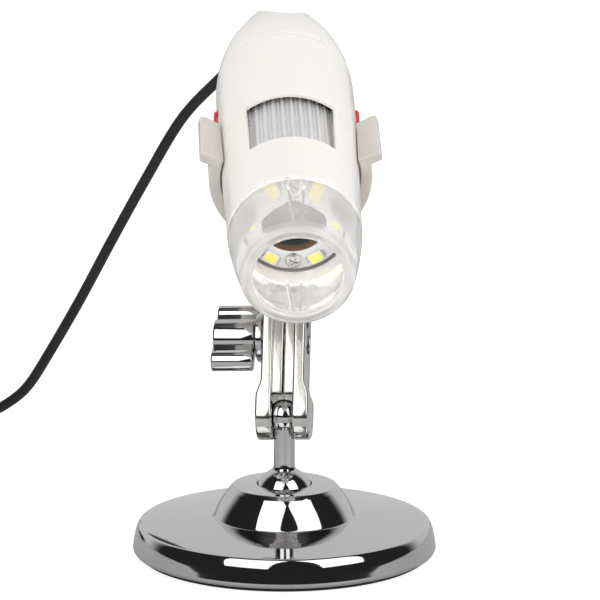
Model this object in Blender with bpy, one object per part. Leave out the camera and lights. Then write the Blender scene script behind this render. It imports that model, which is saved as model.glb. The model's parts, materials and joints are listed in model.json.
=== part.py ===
"""Digital microscope in a cradle on a chrome ball-joint stand.

Metres, +Z up. The origin is the centre of the base's underside; the nose points towards -Y.
Microscope pieces are modelled along the barrel's own Y axis: y = 0 where the clear nose
cover meets the white shell, negative towards the nose, positive towards the cable.
"""
import math

import bmesh
import bpy
from mathutils import Matrix, Vector

# Fits and facets
GAP = 0.0003
OVERRUN = 0.002
ROUND_SIDES = 40
SMALL_SIDES = 20
TINY_SIDES = 12
ARC_STEPS = 8
CREASE_ANGLE = math.radians(35)

# Base and hub
BASE_FOOT_RADIUS = 0.0347
BASE_RIM_RADIUS = 0.0364
BASE_TOP_RADIUS = 0.0344
BASE_FOOT_HEIGHT = 0.0007
BASE_RIM_HEIGHT = 0.0031
BASE_EDGE_HEIGHT = 0.0078
HUB_FOOT_RADIUS = 0.0172
HUB_TOP_RADIUS = 0.0132
HUB_FOOT_HEIGHT = 0.0095
HUB_SHOULDER_HEIGHT = 0.0160
HUB_CROWN_HEIGHT = 0.0172
HUB_BORE_RADIUS = 0.0086
HUB_SHOULDER_ROUND = 0.0009
SHOULDER_START_SHARE = 0.95
PAD_RADIUS = 0.0334
PAD_THICKNESS = 0.0013
RETAINER_RADIUS = 0.0141
RETAINER_THICKNESS = 0.0012
RETAINER_HOLE_RADIUS = 0.0030
RETAINER_SEAT_HEIGHT = 0.0047
SPRING_THICKNESS = 0.0006
SPRING_RISE = 0.0008
SPRING_WIDTH = 0.0042
CUP_SEAT_HEIGHT = 0.0125
CUP_HOLE_RADIUS = 0.0030
BASE_SCREWS = 3
BASE_SCREW_CIRCLE = 0.0112
BASE_SCREW_TURN_SHARE = 0.25
BASE_SCREW_HEAD_RADIUS = 0.0020
BASE_SCREW_HEAD_THICKNESS = 0.0009
BASE_SCREW_RADIUS = 0.0009
BASE_SCREW_LENGTH = 0.0055

# Lower post
HUB_BALL_RADIUS = 0.0070
HUB_BALL_DROP = 0.0030
POST_RADIUS = 0.00255
POST_LENGTH = 0.0195
CLAMP_BALL_RADIUS = 0.00395

# Clamp
CLAMP_REACH = 0.0354
CLAMP_LEAN = math.radians(27.6)
CLAMP_LEAN_HEADING = math.radians(3.3)
CLAMP_TURN = math.radians(-8.5)
LOBE_RADIUS = 0.0058
LOBE_OUTER = 0.0067
LOBE_INNER = 0.0031
LOBE_LENGTH = 0.0042
FLARE_LENGTH = 0.0070
MOUTH_LENGTH = 0.0064
PLATE_OUTER = 0.0050
WAIST_SHARE = 0.8
RIB_OUTER = 0.0025
RIB_HALF_WIDTH = 0.0043
CLAMP_SCREW_RADIUS = 0.0020
CLAMP_SCREW_RISE = 0.0016  # above the middle of the clamp
CLAMP_HEAD_RADIUS = 0.0038
CLAMP_HEAD_THICKNESS = 0.0016
CLAMP_HEAD_DEPTH = 0.0003
WASHER_RADIUS = 0.0059
WASHER_THICKNESS = 0.0016

# Wing knob
KNOB_LENGTH = 0.0101
KNOB_HUB_RADIUS = 0.0046
KNOB_END_WALL = 0.0012
WING_REACH = 0.0105
WING_TIP_RADIUS = 0.0025
WING_NECK_HALF = 0.0019
WING_ANGLE = math.radians(-32)
WING_EDGE_ROUND = 0.0004

# Upper post
UPPER_NECK_RADIUS = 0.0021
COLLAR_RADIUS = 0.0036
COLLAR_START = 0.0064
COLLAR_THICKNESS = 0.0009
STUD_RADIUS = 0.0015

# Cradle
SCOPE_PITCH = math.radians(21.55)
SCOPE_TURN = math.radians(2.5)
CRADLE_START = 0.0241
CRADLE_LENGTH = 0.0175
CRADLE_OUTER_RADIUS = 0.0194
CRADLE_FIT = 0.00035
CRADLE_STUD_PLACE = 0.0039
CRADLE_STANDOFF = 0.0096
CRADLE_OPEN_ANGLE = math.radians(11)
LIP_OUTER = 0.0217
LIP_HEIGHT = 0.0066
LIP_THICKNESS = 0.0021
BOSS_RADIUS = 0.0038
NUT_RADIUS = 0.0030
NUT_THICKNESS = 0.0013

# Barrel shells
BARREL_LENGTH = 0.0955
BARREL_RADIUS = 0.01685
BARREL_OUTLINE_SHARES = (
    (0.0, 0.928), (0.08, 0.936), (0.20, 0.956), (0.40, 0.992), (0.55, 1.0), (0.66, 0.998),
    (0.695, 0.987), (0.75, 0.950), (0.80, 0.893), (0.85, 0.815), (0.89, 0.730),
    (0.925, 0.650), (0.955, 0.590), (0.98, 0.530), (1.0, 0.480),
)
WALL = 0.0016
FRONT_SHELL_LENGTH = 0.0352
REAR_SHELL_LENGTH = 0.0298
SEAM_GAP = 0.0004
SPIGOT_LENGTH = 0.0030
SPIGOT_WALL = 0.0009
TONGUE_LENGTH = 0.0030
TONGUE_WALL = 0.0006
MOUTH_BORE_RADIUS = 0.0143
MOUTH_BORE_DEPTH = 0.0086
LEDGE_RADIUS = 0.0116
LEDGE_LENGTH = 0.0022
WHEEL_BAY_RADIUS = 0.0150
WHEEL_BAY_START = 0.0147
WINDOW_START = 0.0168
WINDOW_HALF_ANGLE = math.radians(39.5)
WINDOW_FLOOR_SHARE = 0.5
TAIL_CAVITY_SETBACK = 0.0105
TAIL_VALLEY_RADIUS = 0.0150
TAIL_VALLEY_SETBACK = 0.0045
TAIL_VALLEY_SIDE = 0.0015
TAIL_VALLEY_HEIGHT_SHARE = 0.393
TAIL_VALLEY_PITCH = math.radians(-33.2)

# Focus wheel and optics
WHEEL_RADIUS = 0.0147
WHEEL_RIB_DEPTH = 0.0006
WHEEL_RIBS = 42
WHEEL_RIB_SHARES = ((0.0, 1.0), (0.30, 1.0), (0.45, 0.0), (0.85, 0.0))
TUBE_OUTER_RADIUS = 0.0092
TUBE_START = 0.0120
TUBE_FLANGE_OFFSET = 0.0068
TUBE_FLANGE_THICKNESS = 0.0020
TUBE_SKIRT_RADIUS = 0.0108
TUBE_SKIRT_LENGTH = 0.0019
LENS_BARREL_RADIUS = 0.0076
LENS_BARREL_START = 0.0112
LENS_BARREL_LENGTH = 0.0260
LENS_BARREL_WALL = 0.0018
LENS_THICKNESS = 0.0026
LENS_CROWN = 0.0008
LENS_CROWN_SHARES = (0.6, 0.0)
LENS_LIP = 0.0012
LENS_LIP_LENGTH = 0.0012
SENSOR_BOARD_RADIUS = 0.0115
BOARD_THICKNESS = 0.0012
SENSOR_HALF_SIZE = 0.0033
SENSOR_THICKNESS = 0.0010
MAIN_BOARD_OFFSET = 0.0133
MAIN_BOARD_CLEARANCE = 0.0004
MAIN_BOARD_DROP = 0.0036

# Lamp ring behind the clear cover
LAMP_BOARD_RADIUS = 0.0126
LAMP_BOARD_HOLE = 0.0078
LAMP_BOARD_START = 0.0046
LAMP_BOARD_THICKNESS = 0.0012
CARRIER_HOLE = 0.0086
CARRIER_WEB = 0.0008
LAMP_PLACES = 12
LED_CIRCLE = 0.0105
LED_LENGTH = 0.0035
LED_WIDTH = 0.0028
LED_THICKNESS = 0.0008
LAMP_SCREW_CIRCLE = 0.0102
LAMP_SCREW_HEAD_RADIUS = 0.0019
LAMP_SCREW_HEAD_THICKNESS = 0.0008
LAMP_SCREW_CROWN_SHARE = 0.6
LAMP_SCREW_RADIUS = 0.0007
LAMP_SCREW_LENGTH = 0.0025

# Clear nose cover
COVER_LENGTH = 0.0187
COVER_OUTLINE_SHARES = (
    (0.0, 1.0), (0.15, 0.990), (0.34, 0.964), (0.53, 0.935), (0.71, 0.900), (0.88, 0.858),
)
COVER_RIM_RADIUS = 0.0121
COVER_MOUTH_RADIUS = 0.0103
COVER_LIP = 0.0020
COVER_WALL = 0.0015
COVER_SPIGOT_LENGTH = 0.0038
COVER_SPIGOT_WALL = 0.0010
RIB_DEPTH = 0.0014
RIB_THICKNESS = 0.0005
RIB_SETBACK = 0.0018
RIB_REAR_SPREAD = 0.0017
RIB_FRONT_SPREAD = 0.0007

# Buttons and switches
BUTTON_OFFSET = 0.0152
BUTTON_RADIUS = 0.0029
BUTTON_PROUD = 0.0011
BUTTON_FLANGE = 0.0007
BUTTON_FLANGE_THICKNESS = 0.0009
BUTTON_STROKE = 0.0006
SWITCH_DEPTH = 0.0030
SWITCH_LENGTH = 0.0050

# Cable and strain relief
CABLE_RADIUS = 0.0014
RELIEF_DROP = 0.0030
RELIEF_TILT = math.radians(-18)
RELIEF_SETBACK = 0.0095
RELIEF_NECK_RADIUS = 0.0024
RELIEF_FLANGE_RADIUS = 0.0036
RELIEF_FLANGE_THICKNESS = 0.0012
RELIEF_BOOT_START = 0.0100
RELIEF_BOOT_LENGTH = 0.0080
RELIEF_BOOT_RADIUS = 0.0029
RELIEF_TIP_RADIUS = 0.0021
RELIEF_RINGS = 3
RELIEF_RING_SHARES = (0.62, 0.72, 0.95)
RELIEF_GROOVE = 0.00035
ROUTE_STEPS = 16
CABLE_FALL = (
    (-0.00426, 0.01536, 0.9689), (-0.00946, 0.01946, 0.9279), (-0.01586, 0.02136, 0.8729),
    (-0.02556, 0.02516, 0.7786), (-0.03546, 0.02976, 0.6293), (-0.04496, 0.03516, 0.4748),
    (-0.05426, 0.04116, 0.3186), (-0.06456, 0.04836, 0.1580), (-0.06936, 0.05146, 0.0934),
    (-0.07416, 0.05396, 0.0541), (-0.07976, 0.05596, 0.0253), (-0.08726, 0.05736, 0.0148),
    (-0.09826, 0.05816, 0.0166),
)
CABLE_STEP = 0.0068
COIL_SIDE = -0.12426
COIL_BACK = 0.03816
COIL_RADIUS = 0.0201
COIL_PITCH = 0.0033
COIL_TURNS = 11.25
COIL_LAYER_TURNS = 3.0
COIL_LEAD_TURNS = 0.25
COIL_CLIMB_TURNS = 0.5
COIL_LAYERS = 4
COIL_POINTS = 24
COIL_FOOT = 0.0008
LEAD_BEND_RADIUS = 0.0140
LEAD_RUN = 0.0146
LEAD_RUN_SHARES = (0.4, 0.7)
LEAD_POINTS = 12
TIE_WIDTH = 0.0050
TIE_THICKNESS = 0.0005
TIE_FOOT = 0.00005
PLUG_CENTRE_HEIGHT = 0.0040
PLUG_BOOT_LENGTH = 0.0090
PLUG_BOOT_END_SHARE = 0.85
PLUG_BOOT_TIP_HALF = 0.0018
PLUG_BOOT_TIP_ROUND = 0.0014
PLUG_BOOT_HALF_WIDTH = 0.0029
PLUG_BOOT_HALF_HEIGHT = 0.0027
PLUG_BOOT_ROUND = 0.0018
PLUG_GRIP_LENGTH = 0.0200
PLUG_GRIP_WIDTH = 0.0140
PLUG_GRIP_HEIGHT = 0.0074
PLUG_GRIP_ROUND = 0.0014
PLUG_SHELL_WIDTH = 0.0120
PLUG_SHELL_HEIGHT = 0.0045
PLUG_SHELL_LENGTH = 0.0120
PLUG_SHELL_SUNK = 0.0020
PLUG_SHELL_WALL = 0.0004
PLUG_TONGUE_THICKNESS = 0.0018

# Sizes that follow from the ones above
HUB_BALL_HEIGHT = HUB_CROWN_HEIGHT - HUB_BALL_DROP
POCKET_RADIUS = HUB_BALL_RADIUS + GAP
HUB_MOUTH_RADIUS = math.sqrt(POCKET_RADIUS ** 2 - HUB_BALL_DROP ** 2)
CLAMP_BALL_HEIGHT = HUB_BALL_HEIGHT + POST_LENGTH
CLAMP_POCKET_RADIUS = CLAMP_BALL_RADIUS + GAP
BALL_TO_AXIS = CRADLE_OUTER_RADIUS + CRADLE_STANDOFF
STUD_AXIS_PLACE = CRADLE_START + CRADLE_STUD_PLACE
TONGUE_OUTER_RADIUS = WHEEL_BAY_RADIUS + TONGUE_WALL
TONGUE_END = FRONT_SHELL_LENGTH + TONGUE_LENGTH
WHEEL_BAY_END = TONGUE_END + GAP
TUBE_FLANGE_START = FRONT_SHELL_LENGTH + TUBE_FLANGE_OFFSET
BUTTON_PLACE = FRONT_SHELL_LENGTH + BUTTON_OFFSET
REAR_SHELL_END = FRONT_SHELL_LENGTH + REAR_SHELL_LENGTH
MAIN_BOARD_START = FRONT_SHELL_LENGTH + MAIN_BOARD_OFFSET
MAIN_BOARD_END = REAR_SHELL_END - SPIGOT_LENGTH - MAIN_BOARD_CLEARANCE
TAIL_CAVITY_END = BARREL_LENGTH - TAIL_CAVITY_SETBACK
RELIEF_ROOT = BARREL_LENGTH - RELIEF_SETBACK
SHELL_MOUTH_RADIUS = BARREL_RADIUS * BARREL_OUTLINE_SHARES[0][1]
COIL_BOTTOM = COIL_FOOT + CABLE_RADIUS
COIL_TOP = COIL_BOTTOM + (COIL_LAYERS - 1) * COIL_PITCH
COIL_INNER = COIL_RADIUS - COIL_PITCH * (COIL_LAYER_TURNS - COIL_LEAD_TURNS)
COIL_OUTER = COIL_RADIUS + COIL_PITCH * COIL_LEAD_TURNS

# Colours: red, green, blue, metallic, roughness
FINISHES = {
    "chrome": (0.80, 0.80, 0.81, 1.0, 0.06),
    "steel": (0.55, 0.55, 0.56, 1.0, 0.30),
    "white_plastic": (0.86, 0.84, 0.80, 0.0, 0.28),
    "cradle_plastic": (0.82, 0.78, 0.72, 0.0, 0.35),
    "clear_plastic": (0.90, 0.90, 0.89, 0.0, 0.08),
    "black_plastic": (0.02, 0.02, 0.02, 0.0, 0.45),
    "black_rubber": (0.015, 0.015, 0.015, 0.0, 0.55),
    "silver_plastic": (0.62, 0.61, 0.60, 0.3, 0.35),
    "red_plastic": (0.75, 0.05, 0.03, 0.0, 0.30),
    "white_board": (0.88, 0.88, 0.90, 0.0, 0.40),
    "green_board": (0.04, 0.22, 0.10, 0.0, 0.45),
    "phosphor": (0.93, 0.88, 0.25, 0.0, 0.35),
    "lens_glass": (0.70, 0.72, 0.75, 0.0, 0.03),
    "nylon": (0.80, 0.79, 0.74, 0.0, 0.50),
}


def clear_scene():
    for old in list(bpy.data.objects):
        bpy.data.objects.remove(old, do_unlink=True)


def finish_named(name):
    found = bpy.data.materials.get(name)
    if found:
        return found
    red, green, blue, metallic, roughness = FINISHES[name]
    material = bpy.data.materials.new(name)
    material.use_nodes = True
    shader = material.node_tree.nodes["Principled BSDF"]
    shader.inputs["Base Color"].default_value = (red, green, blue, 1.0)
    shader.inputs["Metallic"].default_value = metallic
    shader.inputs["Roughness"].default_value = roughness
    return material


def frame_empty(name, matrix, parent=None):
    """An empty that carries pieces; matrix is its place in its parent's frame."""
    empty = bpy.data.objects.new(name, None)
    bpy.context.collection.objects.link(empty)
    empty.empty_display_size = WALL
    if parent:
        empty.parent = parent
    empty.matrix_basis = matrix
    return empty


def add_piece(name, bm, finish, parent=None, matrix=None):
    """Links the bmesh as a named, smooth-shaded object in its parent's frame."""
    bmesh.ops.recalc_face_normals(bm, faces=bm.faces)
    mesh = bpy.data.meshes.new(name)
    bm.to_mesh(mesh)
    bm.free()
    mesh.shade_smooth()
    mesh.set_sharp_from_angle(angle=CREASE_ANGLE)
    piece = bpy.data.objects.new(name, mesh)
    bpy.context.collection.objects.link(piece)
    if parent:
        piece.parent = parent
    if matrix:
        piece.matrix_basis = matrix
    if finish:
        mesh.materials.append(finish_named(finish))
    return piece


def turned(outline, sides, axis="Z"):
    """Solid of (radius, height) points turned about an axis; radius 0 is a point on it."""
    bm = bmesh.new()
    rings = []
    for radius, height in outline:
        count = 1 if radius == 0 else sides
        ring = []
        for k in range(count):
            angle = math.tau * (k + 0.5) / sides
            across, along = radius * math.sin(angle), radius * math.cos(angle)
            point = {
                "X": (height, across, along),
                "Y": (across, height, along),
                "Z": (along, across, height),
            }[axis]
            ring.append(bm.verts.new(point))
        rings.append(ring)
    for first, second in zip(rings, rings[1:] + rings[:1]):
        if len(first) == 1 and len(second) == 1:
            continue
        for k in range(sides):
            a, b = first[k % len(first)], first[(k + 1) % len(first)]
            c, d = second[(k + 1) % len(second)], second[k % len(second)]
            corners = [v for i, v in enumerate((a, b, c, d)) if v not in (a, b, c, d)[:i]]
            bm.faces.new(corners)
    return bm


def lofted(outlines, places, axis="Y"):
    """Solid through closed outlines of equal point count, placed along an axis."""
    bm = bmesh.new()
    rings = []
    for outline, place in zip(outlines, places):
        ring = []
        for u, v in outline:
            point = {"X": (place, u, v), "Y": (u, place, v), "Z": (u, v, place)}[axis]
            ring.append(bm.verts.new(point))
        rings.append(ring)
    for first, second in zip(rings, rings[1:]):
        for k in range(len(first)):
            following = (k + 1) % len(first)
            bm.faces.new((first[k], first[following], second[following], second[k]))
    bm.faces.new(rings[0])
    bm.faces.new(rings[-1])
    return bm


def extruded(outline, start, end, axis="Y"):
    return lofted((outline, outline), (start, end), axis)


def block(low, high):
    outline = ((low[0], low[1]), (high[0], low[1]), (high[0], high[1]), (low[0], high[1]))
    return extruded(outline, low[2], high[2], "Z")


def arc(centre, radius, start, end, steps=ARC_STEPS):
    """Points (u, v) on an arc; angles in radians from +u towards +v."""
    points = []
    for k in range(steps + 1):
        angle = start + (end - start) * k / steps
        points.append((centre[0] + radius * math.cos(angle), centre[1] + radius * math.sin(angle)))
    return points


def rounded_rectangle(half_width, half_height, radius, steps=2):
    points = []
    corners = ((1, 1, 0.0), (-1, 1, 0.25), (-1, -1, 0.5), (1, -1, 0.75))
    for side, rise, start_share in corners:
        centre = (side * (half_width - radius), rise * (half_height - radius))
        start = math.tau * start_share
        points += arc(centre, radius, start, start + math.pi / 2, steps)
    return points


def tool(name, bm, parent=None, matrix=None):
    """A hidden solid that cuts, joins or trims another piece."""
    piece = add_piece(name, bm, None, parent, matrix)
    piece.hide_render = True
    piece.display_type = "WIRE"
    return piece


def combine(piece, other, operation):
    step = piece.modifiers.new(other.name, "BOOLEAN")
    step.operation = operation
    step.object = other
    return piece


def cut(piece, cutter):
    return combine(piece, cutter, "DIFFERENCE")


def join(piece, other):
    return combine(piece, other, "UNION")


def round_edges(piece, width):
    step = piece.modifiers.new("edge round", "BEVEL")
    step.width = width
    step.segments = 1
    step.limit_method = "ANGLE"
    step.angle_limit = CREASE_ANGLE
    return piece


def share_curve(shares, place):
    """Smooth value at a place on a curve through (place, value) shares."""
    last = len(shares) - 1
    span = max(k for k in range(last) if shares[k][0] <= place or k == 0)
    (x0, y0), (x1, y1) = shares[span], shares[span + 1]
    width = x1 - x0
    before = shares[max(span - 1, 0)]
    after = shares[min(span + 2, last)]
    slope0 = (y1 - before[1]) / (x1 - before[0])
    slope1 = (after[1] - y0) / (after[0] - x0)
    t = (place - x0) / width
    return (
        y0 * (2 * t ** 3 - 3 * t ** 2 + 1)
        + slope0 * width * (t ** 3 - 2 * t ** 2 + t)
        + y1 * (3 * t ** 2 - 2 * t ** 3)
        + slope1 * width * (t ** 3 - t ** 2)
    )


def barrel_radius(place):
    return BARREL_RADIUS * share_curve(BARREL_OUTLINE_SHARES, place / BARREL_LENGTH)


def stations(start, end, count):
    return [start + (end - start) * k / count for k in range(count + 1)]


def ball_outline(radius, centre, low, high, steps=ARC_STEPS):
    """(radius, height) points up the right side of a ball between two heights."""
    first = math.asin(max(-1.0, min(1.0, (low - centre) / radius)))
    last = math.asin(max(-1.0, min(1.0, (high - centre) / radius)))
    points = arc((0.0, centre), radius, first, last, steps)
    return [(0.0 if abs(r) < radius * 1e-6 else r, h) for r, h in points]


def build_base():
    base = add_piece("base_plate", turned(base_outline(), ROUND_SIDES), "chrome")
    for number in range(BASE_SCREWS):
        angle = math.tau * (number + BASE_SCREW_TURN_SHARE) / BASE_SCREWS
        spot = Matrix.Rotation(angle, 4, "Z") @ Matrix.Translation((BASE_SCREW_CIRCLE, 0, 0))
        base_screw(base, number + 1, spot)
    pad_outline = (
        (0, 0), (PAD_RADIUS, 0), (PAD_RADIUS, PAD_THICKNESS), (0, PAD_THICKNESS),
    )
    add_piece("base_pad", turned(pad_outline, ROUND_SIDES), "black_rubber")
    build_retention()


def base_outline():
    """Section of the base: hub mouth, crown, wall, plate, rim, then back inside."""
    crown = (HUB_MOUTH_RADIUS, HUB_CROWN_HEIGHT)
    wall_angle = math.atan2(HUB_SHOULDER_HEIGHT - HUB_FOOT_HEIGHT, HUB_FOOT_RADIUS - HUB_TOP_RADIUS)
    shoulder_centre = (HUB_TOP_RADIUS - HUB_SHOULDER_ROUND, HUB_SHOULDER_HEIGHT)
    shoulder = arc(shoulder_centre, HUB_SHOULDER_ROUND, math.pi / 2 * SHOULDER_START_SHARE,
                   math.pi / 2 - wall_angle, 2)
    rim_drop = BASE_EDGE_HEIGHT - BASE_RIM_HEIGHT
    rim_grow = BASE_RIM_RADIUS - BASE_TOP_RADIUS
    rim = []
    for turn in stations(0.0, math.pi / 2, 3):
        rim.append((BASE_TOP_RADIUS + rim_grow * math.sin(turn),
                    BASE_RIM_HEIGHT + rim_drop * math.cos(turn)))
    heel_drop = BASE_RIM_HEIGHT - BASE_FOOT_HEIGHT
    heel_shrink = BASE_RIM_RADIUS - BASE_FOOT_RADIUS
    heel = []
    for turn in stations(0.0, math.pi / 2, 2)[1:]:
        heel.append((BASE_RIM_RADIUS - heel_shrink * (1 - math.cos(turn)),
                     BASE_RIM_HEIGHT - heel_drop * math.sin(turn)))
    recess = PAD_THICKNESS + GAP
    pocket_low = HUB_BALL_HEIGHT
    inside = [
        (PAD_RADIUS + GAP, BASE_FOOT_HEIGHT),
        (PAD_RADIUS + GAP, recess),
        (RETAINER_RADIUS + GAP, recess),
        (RETAINER_RADIUS + GAP, RETAINER_SEAT_HEIGHT),
        (HUB_BORE_RADIUS, RETAINER_SEAT_HEIGHT),
        (HUB_BORE_RADIUS, pocket_low),
    ]
    pocket = ball_outline(POCKET_RADIUS, HUB_BALL_HEIGHT, pocket_low, HUB_CROWN_HEIGHT, 3)[:-1]
    return [crown] + shoulder + [(HUB_FOOT_RADIUS, HUB_FOOT_HEIGHT)] + rim + heel + inside + pocket


def base_screw(base, number, spot):
    """Screw from below through the retainer into the hub, and its hole in the base."""
    head_top = RETAINER_SEAT_HEIGHT - GAP - RETAINER_THICKNESS - GAP
    head_low = head_top - BASE_SCREW_HEAD_THICKNESS
    tip = head_top + BASE_SCREW_LENGTH
    outline = (
        (0, head_low), (BASE_SCREW_HEAD_RADIUS, head_low), (BASE_SCREW_HEAD_RADIUS, head_top),
        (BASE_SCREW_RADIUS, head_top), (BASE_SCREW_RADIUS, tip), (0, tip),
    )
    add_piece(f"retainer_screw_{number}", turned(outline, TINY_SIDES), "steel", None, spot)
    hole_radius = BASE_SCREW_RADIUS + GAP
    hole_outline = (
        (0, RETAINER_SEAT_HEIGHT - OVERRUN), (hole_radius, RETAINER_SEAT_HEIGHT - OVERRUN),
        (hole_radius, tip + GAP), (0, tip + GAP),
    )
    cut(base, tool(f"base_hole_{number}", turned(hole_outline, TINY_SIDES), None, spot))


def build_retention():
    """Friction cup, disc spring and retainer plate that press the hub ball into its pocket."""
    plate_top = RETAINER_SEAT_HEIGHT - GAP
    plate_low = plate_top - RETAINER_THICKNESS
    outline = (
        (RETAINER_HOLE_RADIUS, plate_low), (RETAINER_RADIUS, plate_low),
        (RETAINER_RADIUS, plate_top), (RETAINER_HOLE_RADIUS, plate_top),
    )
    plate = add_piece("retainer_plate", turned(outline, SMALL_SIDES), "steel")
    hole_radius = BASE_SCREW_RADIUS + GAP
    for number in range(BASE_SCREWS):
        angle = math.tau * (number + BASE_SCREW_TURN_SHARE) / BASE_SCREWS
        spot = Matrix.Rotation(angle, 4, "Z") @ Matrix.Translation((BASE_SCREW_CIRCLE, 0, 0))
        hole = ((0, plate_low - OVERRUN), (hole_radius, plate_low - OVERRUN),
                (hole_radius, plate_top + OVERRUN), (0, plate_top + OVERRUN))
        cut(plate, tool(f"retainer_hole_{number + 1}", turned(hole, TINY_SIDES), None, spot))
    spring_low = plate_top + GAP
    spring_outer = HUB_BORE_RADIUS - GAP
    spring_inner = spring_outer - SPRING_WIDTH
    spring = (
        (spring_inner, spring_low + SPRING_RISE), (spring_outer, spring_low),
        (spring_outer, spring_low + SPRING_THICKNESS),
        (spring_inner, spring_low + SPRING_RISE + SPRING_THICKNESS),
    )
    add_piece("disc_spring", turned(spring, SMALL_SIDES), "steel")
    cup_low = spring_low + SPRING_RISE + SPRING_THICKNESS + GAP
    cup_radius = HUB_BORE_RADIUS - GAP
    hole_depth = HUB_BALL_HEIGHT - math.sqrt(POCKET_RADIUS ** 2 - CUP_HOLE_RADIUS ** 2)
    seat = ball_outline(POCKET_RADIUS, HUB_BALL_HEIGHT, hole_depth, CUP_SEAT_HEIGHT, 4)
    cup = seat + [(cup_radius, CUP_SEAT_HEIGHT), (cup_radius, cup_low), (CUP_HOLE_RADIUS, cup_low)]
    add_piece("ball_cup", turned(cup, SMALL_SIDES), "nylon")


def build_lower_post():
    """Ball, rod, ball in one piece, turned; its origin is the hub ball's centre."""
    neck_low = math.sqrt(HUB_BALL_RADIUS ** 2 - POST_RADIUS ** 2)
    neck_high = POST_LENGTH - math.sqrt(CLAMP_BALL_RADIUS ** 2 - POST_RADIUS ** 2)
    top = POST_LENGTH + CLAMP_BALL_RADIUS
    outline = ball_outline(HUB_BALL_RADIUS, 0.0, -HUB_BALL_RADIUS, neck_low, 10)
    outline += ball_outline(CLAMP_BALL_RADIUS, POST_LENGTH, neck_high, top)
    hub_ball = Matrix.Translation((0, 0, HUB_BALL_HEIGHT))
    add_piece("lower_post", turned(outline, SMALL_SIDES), "chrome", None, hub_ball)


def clamp_matrix():
    """Frame of the clamp: origin in the lower ball, z towards the upper ball, x to the right."""
    along = Vector((
        math.sin(CLAMP_LEAN) * math.sin(CLAMP_LEAN_HEADING),
        math.sin(CLAMP_LEAN) * math.cos(CLAMP_LEAN_HEADING),
        math.cos(CLAMP_LEAN),
    ))
    right = Vector((math.cos(CLAMP_TURN), math.sin(CLAMP_TURN), 0))
    right = (right - along * right.dot(along)).normalized()
    back = along.cross(right)
    rotation = Matrix((right, back, along)).transposed().to_4x4()
    return Matrix.Translation((0, 0, CLAMP_BALL_HEIGHT)) @ rotation


def plate_front_outline(side):
    """(x, z) outline of a clamp plate seen from the front, lobed round both balls."""
    low, high = -LOBE_RADIUS - OVERRUN, CLAMP_REACH + LOBE_RADIUS + OVERRUN
    flare = LOBE_LENGTH + FLARE_LENGTH
    waist_low = min(flare, CLAMP_REACH / 2 * WAIST_SHARE)
    waist_high = CLAMP_REACH - waist_low
    outer = [(LOBE_OUTER, low), (LOBE_OUTER, LOBE_LENGTH), (PLATE_OUTER, waist_low),
             (PLATE_OUTER, waist_high), (LOBE_OUTER, CLAMP_REACH - LOBE_LENGTH), (LOBE_OUTER, high)]
    inner = [(LOBE_INNER, high), (LOBE_INNER, CLAMP_REACH - MOUTH_LENGTH),
             (GAP / 2, CLAMP_REACH - MOUTH_LENGTH), (GAP / 2, MOUTH_LENGTH),
             (LOBE_INNER, MOUTH_LENGTH), (LOBE_INNER, low)]
    return [(side * x, z) for x, z in outer + inner]


def build_clamp_plate(name, side, clamp):
    """Half of the clamp: slot-shaped seen from the side, with sockets, ribs and screw hole."""
    plate = add_piece(name, extruded(plate_front_outline(side), -LOBE_RADIUS, LOBE_RADIUS), "chrome", clamp)
    slot_shape = arc((0, 0), LOBE_RADIUS, math.pi, math.tau, 2 * ARC_STEPS)
    slot_shape += arc((0, CLAMP_REACH), LOBE_RADIUS, 0, math.pi, 2 * ARC_STEPS)
    reach = LOBE_OUTER + OVERRUN
    trim = tool(f"{name}_outline", extruded(slot_shape, -reach, reach, "X"), clamp)
    combine(plate, trim, "INTERSECT")
    for place in (0, CLAMP_REACH):
        ball = ball_outline(CLAMP_POCKET_RADIUS, place, place - CLAMP_POCKET_RADIUS,
                            place + CLAMP_POCKET_RADIUS, 10)
        cut(plate, tool(f"{name}_socket", turned(ball, TINY_SIDES), clamp))
    low, high = MOUTH_LENGTH - OVERRUN, CLAMP_REACH - MOUTH_LENGTH + OVERRUN
    for face in (-1, 1):
        near, far = sorted((face * RIB_HALF_WIDTH, face * (LOBE_RADIUS + OVERRUN)))
        inner, outer = sorted((-side * GAP, side * RIB_OUTER))
        relief = block((inner, near, low), (outer, far, high))
        cut(plate, tool(f"{name}_rib_step", relief, clamp))
    hole = CLAMP_SCREW_RADIUS + GAP
    middle = CLAMP_REACH / 2 + CLAMP_SCREW_RISE
    bore = tool(f"{name}_bore", turned(((0, -reach), (hole, -reach), (hole, reach), (0, reach)),
                                       SMALL_SIDES, "X"), clamp,
                Matrix.Translation((0, 0, middle)))
    cut(plate, bore)
    return plate


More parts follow.
